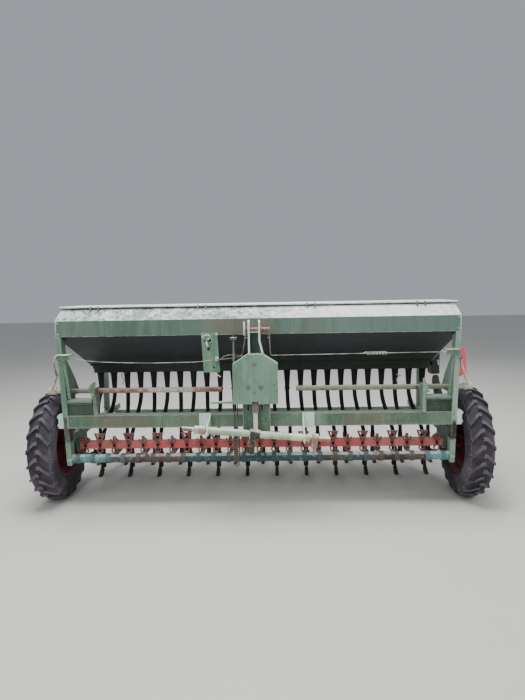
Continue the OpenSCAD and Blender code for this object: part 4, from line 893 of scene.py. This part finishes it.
def lid_details():
    """Two bent handles on the lid's rear edge."""
    p = Piece()
    back, z, half = LID_REAR_Y + 14, HOPPER_TOP + 5, 62
    for x in (-700, 700):
        p.bent([(x + dx, back + dy, z) for dx, dy in ((-half, -4), (-half, 26), (half, 26), (half, -4))], 5, 6, 5)
        for side in SIDES:
            p.bolt(vec(x + side * half, back - 1, z), Y, 13)
    p.done("lid_handles", "hopper_green", "bare_steel", body="hopper_lid", sharp=50)


def wheel_details(side, body):
    """Nuts on studs, and the valve with its cap."""
    p = Piece()
    for a in circle(6):
        p.bolt(vec(side * (WHEEL_X + 33), AXLE_Y, AXLE_Z) + turned(Y, Z, a) * STUDS_R, X * side, 19, 6)
    valve = vec(side * (WHEEL_X + 20), AXLE_Y + 150, AXLE_Z + 48)
    p.rod(valve, valve + vec(side * 34, 10, 3), 4, 12)
    p.rod(valve + vec(side * 30, 9, 3), valve + vec(side * 46, 13, 4), 5.4, 12)
    p.done("wheel_nuts_" + body.split("_")[1], "rim_red", "spring_grey", body=body)


def axle_nuts():
    """A nut on each axle's end, with the split pin through it and the pin's eye."""
    p = Piece()
    for side in SIDES:
        end, out = vec(side * (WHEEL_X + 62), AXLE_Y, AXLE_Z), X * side
        p.hexagon(end - out, out, 36, 16)
        p.rod(end, end + out * 21, 11, 20)
        p.bar(end + out * 12, Z * 24, 2, 8, 0.4)
        p.hoop(end + out * 12 + Z * 27, X, radius=4, wire=2.2, steps=14, sides=6)
    p.done("axle_nuts", "dark_green", "spring_grey")


def top_link_details():
    """The flat clip beside the left ear, washers on the top link's pin, and the split pin at its right end."""
    p = Piece()
    at = vec(HEAD_X - 59, TOP_PIN_Y - 17, TOP_PIN_Z)
    p.box(at + Z * 10, (11, 5, 70), chamfer=1.5)
    p.ball(at + Z * 45, 6, (0.95, 0.6, 1))
    p.hoop(at + vec(0, 2, -27), Y, radius=6, wire=3, steps=16)
    p.done("pin_clip", "pale_green", "chalk_white", sharp=50)
    q = Piece()
    pin = vec(0, TOP_PIN_Y, TOP_PIN_Z)
    for x in (HEAD_X - 38, HEAD_X + 41):
        q.bar(pin + X * x, X * 2.2, 20, 24, 0.6)
    split = pin + X * (HEAD_X + 90)
    q.bar(split, Z * 21, 3, 10)
    q.hoop(split + Z * 25, X, radius=6, wire=3, steps=16)
    q.done("pin_washers", "worn_iron", "pin_pink", sharp=50)


def hanging_plate_details():
    """The latch over the hanging plate's slot, its knob, and the short rod at its foot."""
    p, q, r = Piece(), Piece(), Piece()
    y = BAND_FRONT_Y - 8.5
    p.bent(((-338, y - 10, 1136), (-322, y - 13, 1146), (-300, y - 14, 1150), (-287, y - 12, 1144),
            (-290, y - 12, 1128), (-306, y - 14, 1118)), 4, 6, 5.5)
    p.hoop(vec(-296, y - 5, 1118), Y, radius=17, wire=6, steps=22)
    p.ball(vec(-248, y - 6, 1152), 10, (1, 0.7, 1))
    p.rod(vec(-248, y + 2, 1152), vec(-248, y - 9, 1152), 6, 14)
    p.done("plate_latch", "frame_green", "pale_green", sharp=50)
    q.rod(vec(-315, y - 12, 1110), vec(-300, y - 16, 1072), 5, 14)
    q.rod(vec(-262, y - 3, 906), vec(-228, y - 6, 884), 4.5, 12)
    q.box(vec(-247, ROPE_Y - 10, 1004), (17, 7, 26), chamfer=2)
    q.done("plate_lever", "bare_steel", "chalk_white", sharp=50)
    r.rod(vec(-302, y - 15, 1076), vec(-299, y - 17, 1054), 7, 14)
    r.ball(vec(-294, y - 2, 1114), 11, (1.1, 0.4, 0.9))
    r.done("plate_grip", "funnel_plastic", "black_iron", sharp=50)


def meter_details():
    """On each seeding unit a slide with its tab, clamp bands round the funnel and a rear flap."""
    p, band = Piece(), Piece()
    z = METER_BOTTOM
    for y in (-58, 58):
        p.box(vec(0, TROUGH_Y + y, z + 44), ((len(ROWS) - 1) * METER_PITCH + 76, 4, 30))
    for k in ROWS:
        x = k * METER_PITCH
        p.box(vec(x, TROUGH_Y - 56.5, z + 14), (34, 3, 20))
        p.box(vec(x, TROUGH_Y - 62, z + 4), (12, 10, 3))
        for side in SIDES:
            p.bolt(vec(x + side * 22, TROUGH_Y - 55, z + 26), -Y, 8)
        p.box(vec(x, TROUGH_Y + 45, z + 32), (46, 5, 26), chamfer=2)
        p.bar(vec(x, TROUGH_Y + 47, z + 44), X * 26, 3, 10)
        for height, r in ((z - 6, 28.6), (FUNNEL_BOTTOM + 6, 20.8)):
            band.hoop(vec(x, TROUGH_Y, height), Z, r, wire=4, steps=26, sides=6)
        band.box(vec(x, TROUGH_Y - 32, z - 6), (8, 8, 8), chamfer=1.5)
    p.done("unit_slides", "dark_green", "dark_green")
    band.done("funnel_bands", "funnel_plastic", "black_iron", sharp=50)


def unit_clips():
    """Bent wire clips on the outer units, and the pale lever on the drive's front."""
    p = Piece()
    y = TROUGH_Y - 46
    for side, route in ((-1, ((-1042, 824), (-1036, 800), (-1022, 778), (-1026, 760), (-1046, 746))),
                        (1, ((1047, 784), (1030, 776), (1011, 763), (1016, 742), (1026, 719)))):
        p.bent([(side * 1010, y + 20, route[0][1] + 6), *((x, y, z) for x, z in route)], 4, 5, 3.2, 8)
    x = HOPPER_X + 38
    p.bent(((x, TROUGH_Y - 54, 902), (x, TROUGH_Y - 66, 898), (x + 3, TROUGH_Y - 70, 862)), 4, 4, 5)
    p.done("unit_clips", "bare_steel", "chalk_white", sharp=50)


def drive_details():
    """Cover bolts and ribs on the chain case and the gearbox, and a dipstick plug."""
    p = Piece()
    x, gear_x = POST_OUT + 36, HOPPER_X + 50.3
    low, high = vec(x, AXLE_Y, AXLE_Z), vec(x, TROUGH_Y - 60, TROUGH_Z - 150)
    way = (high - low).normalized()
    side = X.cross(way)
    for centre, r, angles in ((low, 60, (150, 195, 240, 285, 330)), (high, 38, (20, 90, 160))):
        for a in angles:
            p.bolt(centre + turned(side, way, math.radians(a)) * r, X, 10)
    for t in (0.25, 0.5, 0.75):
        for s in SIDES:
            p.bolt(low + (high - low) * t + side * s * (58 - 20 * t), X, 10)
    for y, z in ((-48, 806), (54, 812), (54, 948), (-48, 950)):
        p.bolt(vec(gear_x, TROUGH_Y + y, z), X, 13)
    for z in (905, 925, 945):
        p.box(vec(gear_x + 1, TROUGH_Y + 2, z), (4, 84, 5), chamfer=1.5)
    plug = vec(HOPPER_X + 26, TROUGH_Y + 20, 998)
    p.rod(plug - Z * 12, plug, 9, 16)
    p.hexagon(plug, Z, 17, 8)
    p.done("drive_bolts", "dark_green", "grey_iron")


def step_tread():
    """Raised bars across one another on the step, so that a boot holds."""
    p = Piece()
    pitch, gap, size = 34, 22, (20, 4.5, 3)
    for i in range(-36, 37):
        for row in (-1, 0, 1):
            turn = Matrix.Rotation(math.radians(45 if (i + row) % 2 else -45), 3, "Z")
            p.box(vec(i * pitch, STEP_Y + row * gap, STEP_TOP + 0.6), size, turn, 1.2)
    p.done("step_tread", "dark_green", "step_worn")


def welds():
    """Weld beads where plates meet the beam, the posts and the headstock."""
    p = Piece()
    front, back, over = BEAM_FRONT + 2, BEAM_BACK - 2, BEAM_Z + 49
    for side in SIDES:
        x = side * POST_OUT
        corner = vec(side * (POST_IN - 0.3), BEAM_FRONT, BEAM_Z - BEAM_S / 2)
        p.weld(corner, corner + Z * BEAM_S)
        p.weld(vec(x, front, BEAM_Z - 38), vec(x, front, BEAM_Z + 46))
        p.weld(vec(x, front, over), vec(x, back, over))
        near, far, foot = (HEAD_X + side * v for v in (295, 371, 303.5))
        p.weld(vec(near, BEAM_FRONT, BEAM_TOP + 6), vec(far, BEAM_FRONT, BEAM_TOP + 6), 2.6)
        p.weld(vec(foot, PLATE_FRONT, 552), vec(foot, PLATE_FRONT, 622), 2.8)
        axle = vec(side * (POST_OUT + 1), AXLE_Y, AXLE_Z + 26)
        p.weld(axle - Y * 26, axle + Y * 26)
    left, right, y, z = HEAD_X - 78, HEAD_X + 88, MAST_FRONT, BEAM_Z + 134
    for x in (left, right):
        p.weld(vec(x, y, BEAM_Z - 38), vec(x, y, z), 2.6)
    p.weld(vec(left + 2, y - 9, z + 4), vec(right - 2, y - 9, z + 4), 2.4)
    p.done("weld_beads", "frame_green", "pale_green", sharp=70)


def floor_and_light():
    """A plain floor, a pale sky and four soft lamps."""
    bm = bmesh.new()
    bmesh.ops.create_grid(bm, x_segments=8, y_segments=8, size=30)
    mesh = bpy.data.meshes.new("floor")
    bm.to_mesh(mesh)
    bm.free()
    s = Shader("floor")
    mesh.materials.append(s.finish(s.mix(s.noise(0.8), (196, 194, 188), (206, 204, 198)), 0.9))
    floor = show("floor", mesh)
    world = bpy.data.worlds.new("sky")
    world.use_nodes = True
    colour, strength = world.node_tree.nodes["Background"].inputs[:2]
    colour.default_value = (0.86, 0.92, 1.0, 1)
    strength.default_value = 0.42
    bpy.context.scene.world = world
    target = vec(0, 0, 0.6)
    # Name, place, size in metres, power in watts
    for name, place, size, power in (("top", (-0.4, -0.7, 5.2), 3.6, 350), ("key", (-2.6, -5.2, 3.8), 4.0, 135),
                                     ("side", (5.0, -2.4, 3.4), 3.0, 110), ("back", (0.5, 5.0, 5.0), 4.0, 130)):
        light = bpy.data.lights.new(name, "AREA")
        light.shape, light.size, light.energy = "DISK", size, power
        lamp = show(name, light)
        lamp.location = place
        lamp.rotation_euler = (target - Vector(place)).to_track_quat("-Z", "Y").to_euler()


camera()
floor_and_light()
dress_nodes()
seed_hoses()
coulter_springs()
hitch_spring()
wire_ropes()
rope_coil()
rope_fittings()
bolt_groups()
hopper_bolts()
hopper_flanges()
lid_details()
wheel_details(-1, "wheel_left")
wheel_details(1, "wheel_right")
axle_nuts()
top_link_details()
hanging_plate_details()
meter_details()
unit_clips()
drive_details()
step_tread()
welds()
